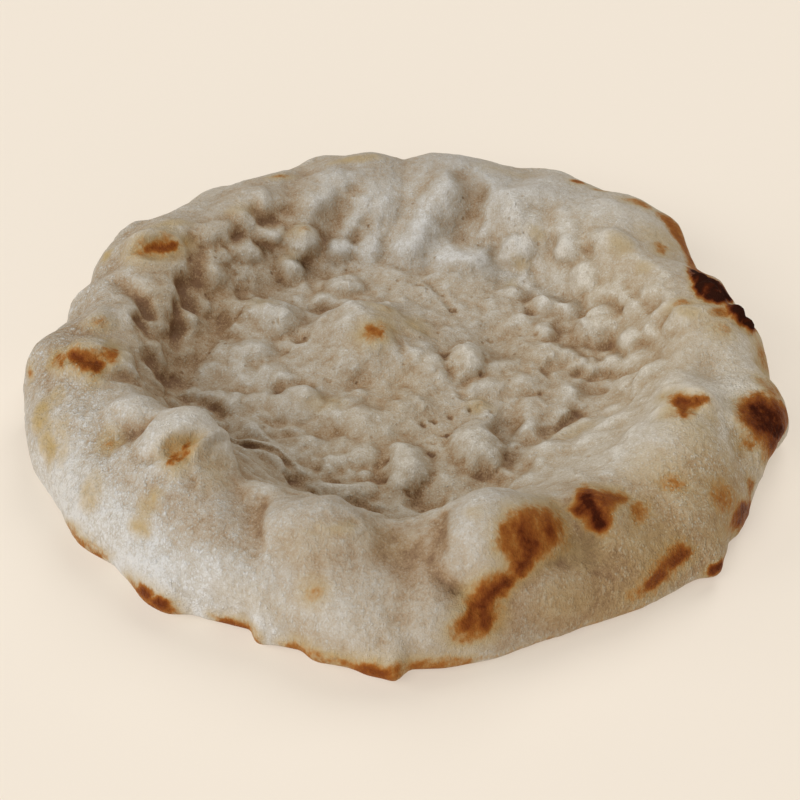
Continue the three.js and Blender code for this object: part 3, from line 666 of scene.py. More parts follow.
# Scorches: strength, feather in pixels, outline in pixels.
SCORCHES = (
    (1.8, 4, (687, 256), (697, 258), (710, 264), (722, 274), (732, 288), (735, 302), (716, 304), (704, 302), (697, 297), (692, 285), (688, 272)),
    (1.8, 3.5, (726, 301), (742, 298), (752, 306), (764, 318), (764, 332), (747, 331), (738, 323), (729, 314)),
    (0.78, 11, (498, 525), (506, 512), (519, 506), (537, 504), (551, 507), (561, 518), (566, 530), (563, 544), (552, 554), (541, 561),
     (527, 570), (514, 580), (505, 590), (500, 600), (498, 612), (496, 624), (488, 634), (476, 641), (462, 644), (452, 642), (447, 635),
     (449, 627), (457, 618), (463, 606), (465, 596), (474, 588), (482, 579), (492, 574), (500, 571), (504, 566), (503, 560), (499, 553),
     (496, 545), (497, 535)),
    (0.85, 7, (571, 511), (579, 501), (587, 491), (591, 488), (604, 490), (621, 492), (628, 498), (622, 505), (612, 513), (608, 526),
     (601, 534), (593, 531), (586, 522), (575, 516)),
    (0.66, 10, (132, 255), (136, 245), (140, 240), (148, 237), (155, 236), (162, 233), (170, 236), (178, 240), (184, 243), (178, 248),
     (172, 252), (162, 255), (152, 257), (142, 258)),
    (0.64, 9, (68, 352), (78, 346), (90, 348), (100, 350), (108, 347), (116, 350), (121, 357), (114, 364), (104, 365), (99, 368),
     (96, 379), (91, 381), (88, 373), (78, 371), (70, 366)),
    (0.42, 6, (50, 366), (54, 356), (60, 351), (66, 355), (64, 364), (60, 370)),
    (0.33, 10, (164, 456), (166, 446), (171, 440), (175, 444), (180, 441), (188, 439), (196, 440), (191, 450), (186, 459), (181, 466),
     (174, 470), (168, 464)),
    (0.62, 9, (664, 397), (671, 395), (680, 394), (692, 397), (700, 395), (707, 399), (706, 404), (698, 408), (694, 414), (685, 419),
     (682, 414), (679, 408), (673, 405), (668, 402)),
    (1.05, 11, (735, 405), (744, 402), (752, 399), (762, 399), (772, 400), (782, 403), (792, 411), (794, 424), (788, 440), (780, 454),
     (770, 458), (762, 450), (755, 440), (748, 432), (742, 424), (738, 414)),
    (0.62, 8, (760, 440), (772, 440), (786, 446), (782, 462), (770, 470), (762, 458)),
    (0.50, 6, (756, 338), (768, 350), (772, 368), (764, 374), (758, 358)), (0.60, 7, (757, 377), (768, 378), (778, 386), (786, 398), (772, 399), (763, 394)),
    (0.70, 10, (662, 556), (668, 548), (676, 542), (685, 545), (690, 552), (686, 560), (680, 565), (672, 573), (664, 580), (656, 584),
     (652, 591), (645, 588), (648, 577), (655, 566)),
    (0.74, 9, (735, 512), (740, 503), (750, 500), (758, 505), (756, 516), (748, 526), (738, 532), (729, 531), (732, 520)),
    (0.85, 6, (705, 573), (714, 564), (723, 561), (730, 567), (724, 575), (712, 580)),
    (0.60, 10, (360, 334), (365, 328), (371, 325), (380, 322), (387, 324), (388, 331), (384, 337), (380, 341), (371, 341), (364, 338)),
    (0.60, 6, (64, 523), (75, 527), (80, 536), (92, 545), (108, 557), (100, 564), (84, 551), (72, 542), (64, 533)),
    (0.80, 9, (126, 578), (137, 583), (147, 588), (155, 595), (165, 600), (176, 606), (182, 613), (178, 622), (168, 618), (154, 612),
     (142, 603), (133, 592)),
    (0.55, 6, (210, 615), (222, 617), (240, 619), (251, 627), (260, 637), (264, 648), (254, 644), (246, 635), (236, 628), (218, 627)),
    (0.62, 7, (278, 643), (292, 640), (307, 645), (315, 651), (325, 656), (337, 656), (349, 660), (347, 671), (332, 665), (317, 668), (304, 658), (288, 654)),
    (0.74, 10, (342, 661), (360, 661), (374, 661), (386, 667), (398, 660), (406, 666), (404, 682), (396, 690), (382, 685), (364, 682), (348, 672)),
    (0.62, 7, (402, 663), (420, 658), (440, 658), (474, 656), (474, 670), (440, 676), (406, 680)),
)
# Darkest runs inside them: strength, half width in pixels, line in pixels.
CORES = (
    (1.0, 12, (522, 528), (530, 546)), (0.98, 8, (534, 546), (520, 568)), (0.62, 7, (520, 568), (505, 583)), (1.0, 8, (505, 583), (490, 594), (482, 606)), (0.94, 7, (484, 606), (484, 626)),
    (0.9, 6, (474, 606), (466, 628)), (1.22, 10, (586, 499), (594, 510), (599, 522)), (1.05, 8, (580, 508), (590, 508)), (0.88, 5, (148, 249), (163, 249), (173, 246)),
    (0.95, 6, (74, 357), (84, 362), (97, 366)), (0.7, 5, (104, 354), (114, 356)), (0.65, 4, (61, 356), (61, 364)), (0.72, 2.4, (170, 463), (177, 454), (188, 445)), (0.6, 1.8, (178, 460), (187, 453)),
    (0.95, 5, (678, 402), (688, 402)), (0.9, 5, (697, 400), (704, 400)), (0.8, 4, (684, 404), (683, 414)), (1.25, 17, (758, 412), (772, 418)), (1.3, 13, (765, 424), (776, 430)),
    (0.80, 7, (684, 552), (672, 564)), (0.76, 6, (664, 574), (650, 584)), (0.95, 7, (746, 508), (740, 520)), (1.0, 5, (712, 571), (722, 566)), (0.62, 5, (370, 329), (380, 333)),
    (0.98, 6, (142, 590), (148, 596)), (1.08, 6, (154, 602), (164, 605)), (0.82, 7, (360, 669), (386, 674)), (0.75, 5, (224, 622), (246, 628)),
)
# Scorches of the side that is out of view: bearing, place on the section,
# half length, half height, turn, strength.
BACK_SCORCHES = (
    (64, 2.5, 9, 6, 20, 0.85), (58, 2.75, 5, 8, -15, 0.8), (108, 2.45, 8, 5, -10, 0.7), (132, 2.7, 10, 6, 25, 0.95), (127, 2.5, 5, 4, 0, 0.6),
    (86, 2.8, 6, 4, 0, 0.6), (35, 2.6, 7, 5, -20, 0.75), (152, 2.6, 6, 5, 10, 0.7), (97, 2.6, 3.5, 3, 0, 0.5), (74, 2.65, 3.5, 3, 0, 0.5), (143, 2.4, 4, 3, 0, 0.5),
)
# Small browned spots: pixel, half length and half width, turn, strength.
SPOTTED = (
    (97, 320, 5, 4, 0, 0.36), (386, 306, 6, 3.6, 0, 0.2), (415, 325, 5, 4.6, 0, 0.18), (676, 412, 6, 5, 0, 0.26), (750, 444, 5, 5, 0, 0.42),
    (724, 498, 8, 6, 0, 0.4), (750, 490, 4, 5, 0, 0.5), (638, 513, 5, 5, 0, 0.42), (672, 481, 5.4, 4, 0, 0.36), (314, 593, 4.4, 4, 0, 0.34), (640, 593, 6, 4, 0, 0.3),
    (280, 175, 5, 3, 0, 0.42), (303, 228, 4.6, 3, 0, 0.28), (640, 203, 7, 3.4, -25, 0.52), (661, 250, 4.2, 4, 0, 0.5), (578, 182, 4, 3.2, -30, 0.8), (606, 191, 6, 2.2, 0, 0.5),
    (680, 303, 5, 3, 0, 0.42), (722, 312, 7, 3.6, 0, 0.55), (722, 328, 5, 5, 0, 0.32), (480, 405, 3.6, 3, 0, 0.2), (110, 441, 4, 4, 0, 0.3),
    (30, 372, 3, 4, 0, 0.5),
)
# Browned runs: half width in millimetres, strength, pixels.
BROWNED = (
    (2.4, 0.3, (474, 660), (560, 636), (640, 608)), (6.5, 0.75, (668, 220), (679, 236), (688, 254)), (5.5, 0.85, (692, 260), (700, 272)), (2.6, 0.4, (34, 470), (38, 482)),
)
# Yellowed, oily patches: pixel, half length and half width, turn, strength.
GOLDEN = (
    (40, 416, 7, 9, 0, 1.0), (46, 444, 6, 11, 0, 1.0), (56, 398, 6, 6, 0, 0.6), (60, 430, 5, 6, 0, 0.5), (88, 494, 6, 9, -20, 0.75), (137, 525, 6, 5, 0, 0.9), (153, 500, 6, 5, 0, 0.45), (110, 444, 6, 6, 0, 0.4), (62, 452, 5, 7, 0, 0.5),
    (356, 158, 14, 4, 6, 0.7), (170, 222, 10, 4.5, 22, 0.65), (106, 255, 5, 6, 40, 0.9), (262, 302, 7, 7, 0, 0.35), (292, 258, 4, 4, 0, 0.3), (534, 232, 4.2, 4, 0, 0.6), (622, 241, 6, 7, 0, 0.6),
    (518, 262, 5, 5, 0, 0.45), (646, 266, 5, 4, 0, 0.5), (688, 310, 7, 4, 0, 0.75), (578, 550, 9, 9, 0, 0.5), (700, 432, 9, 12, 0, 0.45), (690, 420, 14, 12, 0, 0.3), (512, 284, 4, 3, 0, 0.4), (325, 402, 9, 7, 0, 0.4),
    (650, 206, 12, 8, -30, 0.4), (500, 170, 14, 6, 0, 0.35), (240, 208, 8, 5, 20, 0.4), (660, 470, 16, 10, 0, 0.35), (690, 490, 18, 14, 0, 0.32), (730, 470, 10, 14, 0, 0.3), (650, 540, 22, 14, 0, 0.38),
    (640, 590, 24, 10, 10, 0.38), (720, 530, 12, 12, 0, 0.38), (570, 600, 16, 12, 0, 0.35), (600, 540, 12, 10, 0, 0.4), (575, 430, 9, 8, 0, 0.3), (152, 500, 5, 4, 40, 0.8), (143, 513, 5, 5, 0, 0.6), (212, 468, 8, 10, 0, 0.25), (334, 527, 7, 1.8, -6, 0.45), (350, 527, 4, 3, 0, 0.4), (312, 532, 5, 1.6, -8, 0.3), (300, 545, 14, 8, 0, 0.12),
    (380, 540, 12, 8, 0, 0.15), (250, 600, 16, 8, 0, 0.12), (700, 400, 10, 8, 0, 0.4), (667, 412, 7, 6, 0, 0.7), (709, 410, 6, 8, 0, 0.55), (690, 424, 10, 7, 0, 0.45), (476, 510, 6, 3, 0, 0.4), (660, 240, 12, 9, -40, 0.5), (712, 320, 8, 6, 0, 0.4),
)
STAIN = warp(P, 7.0, 2.2, 41) + warp(P, 2.6, 0.8, 44) - P
N1S = blurred(NORMAL, 10)
N1S /= np.linalg.norm(N1S, axis=1, keepdims=True)


def patches(table, sharp):
    out = np.zeros(len(P))
    for u, v, a, b, turn, strength in table:
        got = cast(u, v)
        if got is None:
            continue
        c, k = got
        n = N1S[k]
        e1 = RIGHT - n * (n @ RIGHT)
        e1 /= np.linalg.norm(e1)
        e2 = np.cross(n, e1)
        t = math.radians(turn)
        f1, f2 = math.cos(t) * e1 + math.sin(t) * e2, -math.sin(t) * e1 + math.cos(t) * e2
        d = STAIN - c
        q = (d @ f1 / a) ** 2 + (d @ f2 / b) ** 2 + (d @ n / max(a, b)) ** 2
        out = np.maximum(out, strength * np.maximum(0, 1 - q) ** sharp)
    return out


PIXELS = to_pixels(P)


def near(points, margin):
    """Vertices around the place that a set of pixels shows."""
    hits = [g[0] for g in (cast(u, v) for u, v in points) if g is not None]
    if not hits:
        return np.zeros(0, int), None
    hits = np.array(hits)
    centre = np.median(hits, axis=0)
    reach = np.linalg.norm(hits - centre, axis=1)
    return np.nonzero(np.linalg.norm(P - centre, axis=1) < np.sort(reach)[int(0.8 * len(reach))] * 1.3 + margin)[0], centre


def outline_depth(q, outline):
    """Distance in pixels inside an outline, negative outside it."""
    pts = np.array(outline, float)
    nxt = np.roll(pts, -1, axis=0)
    best, inside = np.full(len(q), 1e9), np.zeros(len(q), bool)
    for a, b in zip(pts, nxt):
        ab = b - a
        t = np.clip((q - a) @ ab / (ab @ ab), 0, 1)
        best = np.minimum(best, np.linalg.norm(q - a - t[:, None] * ab, axis=1))
        span = (a[1] > q[:, 1]) != (b[1] > q[:, 1])
        inside ^= span & (q[:, 0] < (b[0] - a[0]) * (q[:, 1] - a[1]) / (b[1] - a[1] + 1e-12) + a[0])
    return np.where(inside, best, -best)


RAGGED = 2.8 * perlin(P, 3.6, 71) + 1.6 * perlin(P, 2.0, 72)
MOTTLE = 0.92 + 0.42 * perlin(P, 5.0, 73) + 0.25 * perlin(P, 2.6, 74)
SCORCH = patches(SPOTTED, 0.9)
HALO = 0.8 * patches(tuple((u, v, 1.8 * a, 1.8 * b, t, 1.0) for u, v, a, b, t, _ in SPOTTED), 1.0)
for strength, feather, *outline in SCORCHES:
    at, centre = near(outline, 6.0)
    depth = outline_depth(PIXELS[at], outline) + RAGGED[at]
    level = (0.30 * smooth((depth + 1.4 * feather) / (2.2 * feather)) + (0.96 * strength - 0.30) * smooth((depth + 0.45 * feather) / (1.9 * feather))) * MOTTLE[at]
    SCORCH[at] = np.maximum(SCORCH[at], level)
    HALO[at] = np.maximum(HALO[at], smooth((depth + 1.9 * feather) / (2.2 * feather)))
for strength, half, *line in CORES:
    at, centre = near(line, 12.0)
    q = np.concatenate([PIXELS[at], np.zeros((len(at), 1))], 1)
    away = line_distance(q, [np.array([u, v, 0.0]) for u, v in line]) - 1.2 * RAGGED[at]
    SCORCH[at] = np.maximum(SCORCH[at], strength * smooth(1.1 * (1 - away / (1.8 * half))))
# They stay below the crest, on the far side of the rim.
BEHIND = smooth((0.0 - (N1S * (EYE - P)).sum(1) / np.linalg.norm(EYE - P, axis=1)) / 0.14)
for bearing, where, a, b, turn, strength in BACK_SCORCHES:
    k = vertex_at(bearing, where)
    e1 = np.array([-math.sin(math.radians(bearing)), math.cos(math.radians(bearing)), 0.0])
    e2 = np.cross(N1S[k], e1)
    t = math.radians(turn)
    d = STAIN - P[k]
    q = np.sqrt((d @ (math.cos(t) * e1 + math.sin(t) * e2) / a) ** 2 + (d @ (math.cos(t) * e2 - math.sin(t) * e1) / b) ** 2 + (d @ N1S[k] / a) ** 2)
    depth = (1 - q) * 2.6 * min(a, b) + 1.3 * RAGGED
    level = (0.30 * smooth((depth + 12) / 19) + (strength - 0.30) * smooth((depth + 4) / 17)) * MOTTLE * BEHIND
    SCORCH = np.maximum(SCORCH, level)
    HALO = np.maximum(HALO, smooth((depth + 16) / 19) * BEHIND)
CHAR = blurred(smooth((SCORCH - 1.25) / 0.3), 26)
SCORCH = np.maximum(SCORCH, np.minimum(1.0, 1.7 * CHAR) * (0.62 + 0.3 * RAGGED / 2.8))
GOLD = np.maximum(patches(GOLDEN, 1.0), 0.62 * HALO)
for half, strength, *line in BROWNED:
    pts = [g[0] for g in (cast(u, v) for u, v in line) if g is not None]
    if len(pts) > 1:
        SCORCH = np.maximum(SCORCH, strength * np.maximum(0, 1 - line_distance(STAIN, pts) / half) ** 0.8)
AWAY = EYE - P
AWAY = smooth((0.30 - (NORMAL * AWAY).sum(1) / np.linalg.norm(AWAY, axis=1)) / 0.30)
SCORCH = SCORCH + (blurred(SCORCH, 14) - SCORCH) * AWAY
GOLD = GOLD + (blurred(GOLD, 14) - GOLD) * AWAY
# The underside is browned all over, in spots.
UNDER = smooth((ST - 3.25) / 0.5)
SPOTS = smooth((perlin(P, 13.0, 51) + 0.5 * perlin(P, 5.0, 52)) * 1.6 + 0.35)
SCORCH = np.maximum(SCORCH, UNDER * (0.25 + 0.5 * SPOTS))
# The half of the lower edge that is out of view, browned as the front is.
BACK_EDGE = smooth((np.sin(TH) + 0.05) / 0.2) * np.exp(-((ST - 3.02 - 0.06 * perlin(P, 9.0, 54)) / (0.10 + 0.05 * perlin(P, 14.0, 55))) ** 2)
SCORCH = np.maximum(SCORCH, BACK_EDGE * smooth(0.08 + 1.5 * perlin(P, 17.0, 53) + 0.8 * perlin(P, 5.0, 56)) * 0.8 * MOTTLE)
# The dough is browner all over at the front right.
WARM = patches(((640, 560, 46, 34, 12, 1.0), (720, 500, 30, 30, 0, 1.0), (560, 610, 30, 22, 0, 0.8), (700, 450, 26, 22, 0, 0.5)), 0.8)
OUTER = smooth((ST - 1.9) / 0.4)
SCORCH = SCORCH + 0.125 * WARM
# Painted shade: the tone falls where the crust hides more of the sky and in hollows, and rises on bulges; part of this
# is the dough's own browner hollows and paler tops.
TONE = 0.56 + 0.40 * (OPEN - OPEN[ST < 3].mean()) + (0.80 - 0.30 * BACK_WALL) * (OPEN - blurred(OPEN, 90)) + (0.13 - 0.05 * OUTER - 0.04 * BACK_WALL) * np.tanh(BULGE_S / 0.35) + (0.16 - 0.07 * OUTER - 0.07 * BACK_WALL) * np.tanh(BULGE_M / 1.4)
# Browned patches on the front rim, some of them painted shade on the flanks of its lobes.
STAIN_AND_SHADE = patches(((212, 534, 13, 7, 0, 1.0), (246, 582, 9, 10, 0, 0.8), (374, 560, 9, 13, 0, 0.5), (358, 604, 7, 9, 0, 0.8), (313, 580, 6, 10, 0, 0.8), (300, 512, 20, 9, 0, 0.5),
                   (385, 622, 8, 10, 0, 0.8), (268, 612, 9, 5, -30, 0.7), (180, 548, 10, 7, 0, 0.6), (330, 545, 16, 9, 0, 0.5), (400, 540, 14, 10, 0, 0.1), (180, 480, 14, 8, 0, 0.5)), 0.9)
# The inner left wall faces away from the key light: its darker tone and warmer hue below are painted shade.
LEFT_WALL = lobe(TH, 168, 42) * smooth((ST - 0.85) / 0.3) * smooth((2.1 - ST) / 0.4)
CREST = smooth((ST - 1.7) / 0.3) * smooth((3.3 - ST) / 0.5)
TONE = TONE + (0.24 * smooth((1.9 - ST) / 0.7) - 0.04) * BACK_WALL + 0.02 * lobe(TH, 55, 45) * CREST + 0.03 * INNER + 0.17 * lobe(TH, -36, 27) * smooth((ST - 1.0) / 0.4) * smooth((2.7 - ST) / 0.4) - 0.10 * lobe(TH, -92, 30) * CREST - 0.06 * lobe(TH, -139, 11) * CREST
TONE = TONE + 0.03 * OUTER + 0.17 * lobe(TH, -20, 17) * OUTER + 0.05 * lobe(TH, -76, 10) * OUTER - 0.40 * WARM + 0.03 * INNER - 0.04 * lobe(TH, 8, 28) * INNER - 0.04 * lobe(TH, -88, 12) * OUTER - 0.13 * STAIN_AND_SHADE - 0.19 * LEFT_WALL - 0.20 * lobe(TH, 178, 22) * OUTER + 0.05 * lobe(TH, -138, 18) * smooth((ST - 2.3) / 0.3) - 0.03 * lobe(TH, -88, 12) * OUTER + 0.04 * lobe(TH, -140, 12) * CREST
# The creases darken the tone: painted shade, partly also their browner dough.
TONE = TONE - (0.05 + 0.11 * LEFT_WALL) * np.minimum(CREASE, 2.6) + 0.08 * lobe(TH, 45, 28) * (BACK_WALL + CREST) + 0.05 * BACK_WALL + 0.06 * lobe(TH, -26, 14) * CREST - 0.04 * lobe(TH, 178, 25) * OUTER - 0.03 * lobe(TH, -100, 45) * INNER
TONE = TONE + OUTER * (0.12 * perlin(P, 30.0, 62) + 0.12 * perlin(P, 12.0, 63) + 0.32 * lobe(TH, -132, 36) * smooth((ST - 2.3) / 0.3) + 0.12 * lobe(TH, 178, 24))
# The pores darken the tone: painted shade in the holes.
TONE = np.clip(TONE + 0.10 * perlin(P, 20.0, 61) - 0.20 * PORE, 0, 1)

HUE = INNER * (0.35 + 0.55 * lobe(TH, -95, 50)) + 0.6 * LEFT_WALL - 0.9 * lobe(TH, 95, 42) * BACK_WALL + 0.9 * lobe(TH, 2, 38) * smooth((ST - 1.0) / 0.5)
HUE = HUE + 0.4 * lobe(TH, 8, 28) * INNER + 1.4 * lobe(TH, -44, 20) * OUTER - OUTER * (0.75 * lobe(TH, -122, 30) + 0.45 * lobe(TH, 178, 26) + 0.40 * lobe(TH, -78, 14))
HUE = np.clip(0.5 + 0.5 * HUE, 0, 1)

# ---------------------------------------------------------------- the object
mesh = bpy.data.meshes.new("pizza_crust")
mesh.from_pydata(((P + SHIFT) * MM).tolist(), [], TRI.tolist())
mesh.validate()
mesh.update()
mesh.polygons.foreach_set("use_smooth", np.ones(len(mesh.polygons), bool))
# How strongly the fine blisters show in colour, bump and gloss; the strong share on the outer left wall is partly
# painted glints.
SKIN = 0.66 + 0.10 * INNER + 0.95 * lobe(TH, 178, 38) * OUTER + 1.15 * lobe(TH, -34, 30) * OUTER - 0.24 * lobe(TH, -82, 22) * OUTER + 0.60 * lobe(TH, -145, 26) * OUTER + 0.10 * OUTER
for name, value in (("tone", TONE), ("scorch", SCORCH), ("gold", GOLD), ("skin", SKIN), ("hue", HUE), ("grit", INNER * (1 - 0.5 * CALM))):
    mesh.attributes.new(name, "FLOAT", "POINT").data.foreach_set("value", value.astype(np.float32))

# One disc for the upper side and one for the underside, in opposite corners.
SPLIT = 3.2
_fine = np.linspace(0, 5, 2001)
_r, _z = section(np.full_like(_fine, math.radians(200)), _fine)
_arc = np.concatenate([[0], np.cumsum(np.hypot(np.diff(_r), np.diff(_z)))])
arc = np.interp(ST, _fine, _arc)
cut = np.interp(SPLIT, _fine, _arc)
ring = np.stack([np.cos(TH), np.sin(TH)], -1)
upper = np.array([0.372, 0.372]) + ring * (0.365 * arc / cut)[:, None]
lower = np.array([0.786, 0.786]) + ring * (0.207 * (_arc[-1] - arc) / (_arc[-1] - cut))[:, None] * np.array([-1, 1])
is_upper = ST[TRI].mean(1) < SPLIT
uv = np.where(is_upper[:, None, None], upper[TRI], lower[TRI])
mesh.uv_layers.new(name="OFBake").data.foreach_set("uv", uv.reshape(-1).astype(np.float32))

crust = bpy.data.objects.new("pizza_crust", mesh)
bpy.context.scene.collection.objects.link(crust)
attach(crust, "root")
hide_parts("crust")


def material(name):
    m = bpy.data.materials.new(name)
    m.use_nodes = True
    nt = m.node_tree
    nt.nodes.clear()
    out = nt.nodes.new("ShaderNodeOutputMaterial")
    bsdf = nt.nodes.new("ShaderNodeBsdfPrincipled")
    nt.links.new(bsdf.outputs[0], out.inputs[0])
    return m, nt, bsdf


def srgb(r, g, b):
    c = np.array([r, g, b], float) / 255
    c = np.where(c <= 0.04045, c / 12.92, ((c + 0.055) / 1.055) ** 2.4)
    return (*c.tolist(), 1.0)


dough, nt, bsdf = material("baked_dough")


def node(kind, **inputs):
    n = nt.nodes.new(kind)
    for key, value in inputs.items():
        n.inputs[int(key[1:])].default_value = value
    return n


def link(src, dst):
    nt.links.new(src, dst)


def attr(name):
    n = nt.nodes.new("ShaderNodeAttribute")
    n.attribute_name = name
    return n.outputs["Fac"]


def calc(op, a, b=None, c=None, clamp=False):
    n = nt.nodes.new("ShaderNodeMath")
    n.operation = op
    n.use_clamp = clamp
    for i, x in enumerate((a, b, c)):
        if x is None:
            continue
        if isinstance(x, (int, float)):
            n.inputs[i].default_value = x
        else:
            link(x, n.inputs[i])
    return n.outputs[0]


def grain(vector, scale, detail=2.0, rough=0.55):
    n = nt.nodes.new("ShaderNodeTexNoise")
    n.inputs["Scale"].default_value = scale
    n.inputs["Detail"].default_value = detail
    n.inputs["Roughness"].default_value = rough
    link(vector, n.inputs["Vector"])
    return n.outputs["Fac"]


def ramp(fac, stops):
    n = nt.nodes.new("ShaderNodeValToRGB")
    e = n.color_ramp.elements
    while len(e) < len(stops):
        e.new(0.5)
    for item, (at, colour) in zip(e, stops):
        item.position = at
        item.color = colour
    link(fac, n.inputs[0])
    return n.outputs[0]


def mix(fac, a, b):
    n = nt.nodes.new("ShaderNodeMix")
    n.data_type = "RGBA"
    for x, k in ((fac, 0), (a, 6), (b, 7)):
        if isinstance(x, (int, float)):
            n.inputs[k].default_value = x
        elif isinstance(x, tuple):
            n.inputs[k].default_value = x
        else:
            link(x, n.inputs[k])
    return n.outputs[2]


coords = nt.nodes.new("ShaderNodeTexCoord").outputs["Object"]
stretch = nt.nodes.new("ShaderNodeMapping")
stretch.inputs["Scale"].default_value = (1.0, 1.0, 0.55)
link(coords, stretch.inputs["Vector"])
fibre_space = stretch.outputs[0]
coarse = grain(coords, 210, 3)
medium = grain(coords, 620, 3)
fibres = grain(fibre_space, 700, 1, 0.5)
dust_and_glint = grain(coords, 1900, 2, 0.6)


def blisters(scale, reach, share):
    """Round drops on the skin; share is how many of the cells have one."""
    cells = nt.nodes.new("ShaderNodeTexVoronoi")
    cells.feature = "F1"
    cells.inputs["Scale"].default_value = scale
    link(fibre_space, cells.inputs["Vector"])
    pick = nt.nodes.new("ShaderNodeSeparateColor")
    link(cells.outputs["Color"], pick.inputs[0])
    size = calc("MULTIPLY", calc("SUBTRACT", pick.outputs[0], 1 - share), 1 / share, clamp=True)
    d = calc("DIVIDE", cells.outputs["Distance"], reach)
    return calc("MULTIPLY", calc("SUBTRACT", 1.0, calc("MULTIPLY", d, d), clamp=True), size)


small = blisters(1050, 0.52, 0.9)
tiny = blisters(1700, 0.55, 0.8)
large = blisters(440, 0.40, 0.35)
blister_and_glint = calc("ADD", calc("MULTIPLY", small, 0.55), calc("MULTIPLY", tiny, 0.40))
blister_and_glint = calc("MULTIPLY", calc("ADD", blister_and_glint, calc("MULTIPLY", large, 0.48)), attr("skin"))
pillows = nt.nodes.new("ShaderNodeTexVoronoi")
pillows.feature = "F1"
pillows.inputs["Scale"].default_value = 430
link(fibre_space, pillows.inputs["Vector"])
pillow = calc("SUBTRACT", 0.50, pillows.outputs["Distance"])
pillow = calc("MULTIPLY", pillow, calc("MULTIPLY", attr("skin"), calc("SUBTRACT", 1.0, attr("grit"))))
pits = calc("MULTIPLY", blisters(360, 0.26, 0.30), attr("grit"))

# dough tone: brown in the hollows (partly painted shade), cream on the swellings, floury on top, with blister tops
# partly painted glints
tone = calc("ADD", attr("tone"), calc("MULTIPLY", calc("SUBTRACT", medium, 0.5), 0.40))
tone = calc("ADD", tone, calc("MULTIPLY", calc("SUBTRACT", coarse, 0.5), 0.35))
# Paler blister tops: partly their own floury colour, partly painted glints.
tone = calc("ADD", tone, calc("MULTIPLY", calc("SUBTRACT", blister_and_glint, 0.12), 0.50))
# The small pits darken the tone: painted shade in them.
tone = calc("SUBTRACT", tone, calc("MULTIPLY", pits, 0.35))
tone = calc("ADD", tone, calc("MULTIPLY", pillow, 0.16))
# Fine speckle, stronger with skin: partly flour, partly painted glints.
grit = calc("ADD", 0.20, calc("ADD", calc("MULTIPLY", attr("grit"), 0.24), calc("MULTIPLY", attr("skin"), 0.34)))
tone = calc("ADD", tone, calc("MULTIPLY", calc("SUBTRACT", dust_and_glint, 0.5), grit), clamp=True)
dough_colour = ramp(tone, (
    (0.0, (0.165, 0.088, 0.042, 1)), (0.25, (0.285, 0.187, 0.100, 1)), (0.5, (0.370, 0.300, 0.212, 1)),
    (0.72, (0.430, 0.385, 0.315, 1)), (0.9, (0.500, 0.472, 0.418, 1)), (1.0, (0.575, 0.555, 0.512, 1)),
))
tint = nt.nodes.new("ShaderNodeMix")
tint.data_type, tint.blend_type = "RGBA", "MULTIPLY"
tint.inputs[0].default_value = 1.0
link(dough_colour, tint.inputs[6])
link(mix(attr("hue"), (0.97, 1.0, 1.07, 1), (1.04, 0.985, 0.90, 1)), tint.inputs[7])
dough_colour = tint.outputs[2]
gold = calc("MULTIPLY", attr("gold"), calc("ADD", 0.35, calc("MULTIPLY", coarse, 1.3)), clamp=True)
dough_colour = mix(gold, dough_colour, (0.400, 0.286, 0.125, 1))

# scorch: fibrous edge, gold halo, orange brown, dark core
burn = calc("ADD", attr("scorch"), calc("MULTIPLY", calc("SUBTRACT", fibres, 0.5), 0.36))
burn = calc("ADD", burn, calc("MULTIPLY", calc("SUBTRACT", medium, 0.5), 0.36))
burn = calc("SUBTRACT", burn, calc("MULTIPLY", calc("SUBTRACT", blister_and_glint, 0.12), 0.16))
burn = calc("MULTIPLY", burn, calc("MULTIPLY", attr("scorch"), 6.0, clamp=True))
burn_colour = ramp(calc("DIVIDE", burn, 1.5, clamp=True), (
    (0.0, (0.41, 0.320, 0.185, 1)), (0.10, (0.39, 0.270, 0.115, 1)), (0.18, (0.362, 0.203, 0.066, 1)), (0.28, (0.325, 0.146, 0.035, 1)), (0.41, (0.262, 0.088, 0.016, 1)),
    (0.55, (0.192, 0.053, 0.009, 1)), (0.69, (0.125, 0.028, 0.005, 1)), (0.83, (0.052, 0.010, 0.003, 1)), (1.0, (0.026, 0.0075, 0.004, 1)),
))
ease = nt.nodes.new("ShaderNodeMapRange")
ease.interpolation_type = "SMOOTHSTEP"
ease.inputs["From Max"].default_value = 0.55
link(burn, ease.inputs["Value"])
amount = ease.outputs["Result"]
colour = mix(amount, dough_colour, burn_colour)
link(colour, bsdf.inputs["Base Color"])
charred = calc("MULTIPLY", calc("SUBTRACT", burn, 1.0), 2.5, clamp=True)
gloss = calc("SUBTRACT", 0.25, calc("MULTIPLY", amount, 0.20))
link(calc("MULTIPLY", gloss, calc("SUBTRACT", 1.0, calc("MULTIPLY", charred, 0.8))), bsdf.inputs["Specular IOR Level"])
rough = calc("SUBTRACT", calc("SUBTRACT", 0.74, calc("MULTIPLY", attr("skin"), 0.10)), calc("MULTIPLY", burn, 0.14, clamp=True))
rough = calc("ADD", rough, calc("MULTIPLY", charred, 0.35))
link(calc("ADD", rough, calc("MULTIPLY", calc("SUBTRACT", dust_and_glint, 0.5), 0.35)), bsdf.inputs["Roughness"])

# fine blisters and grain
height = calc("ADD", calc("MULTIPLY", blister_and_glint, 0.55), calc("MULTIPLY", dust_and_glint, 0.30))
height = calc("ADD", height, calc("MULTIPLY", medium, 0.6))
height = calc("ADD", height, calc("MULTIPLY", pillow, 0.55))
height = calc("SUBTRACT", height, calc("MULTIPLY", pits, 0.6))
bump = nt.nodes.new("ShaderNodeBump")
bump.inputs["Strength"].default_value = 0.75
bump.inputs["Distance"].default_value = 0.0011
link(height, bump.inputs["Height"])
link(bump.outputs[0], bsdf.inputs["Normal"])
mesh.materials.append(dough)

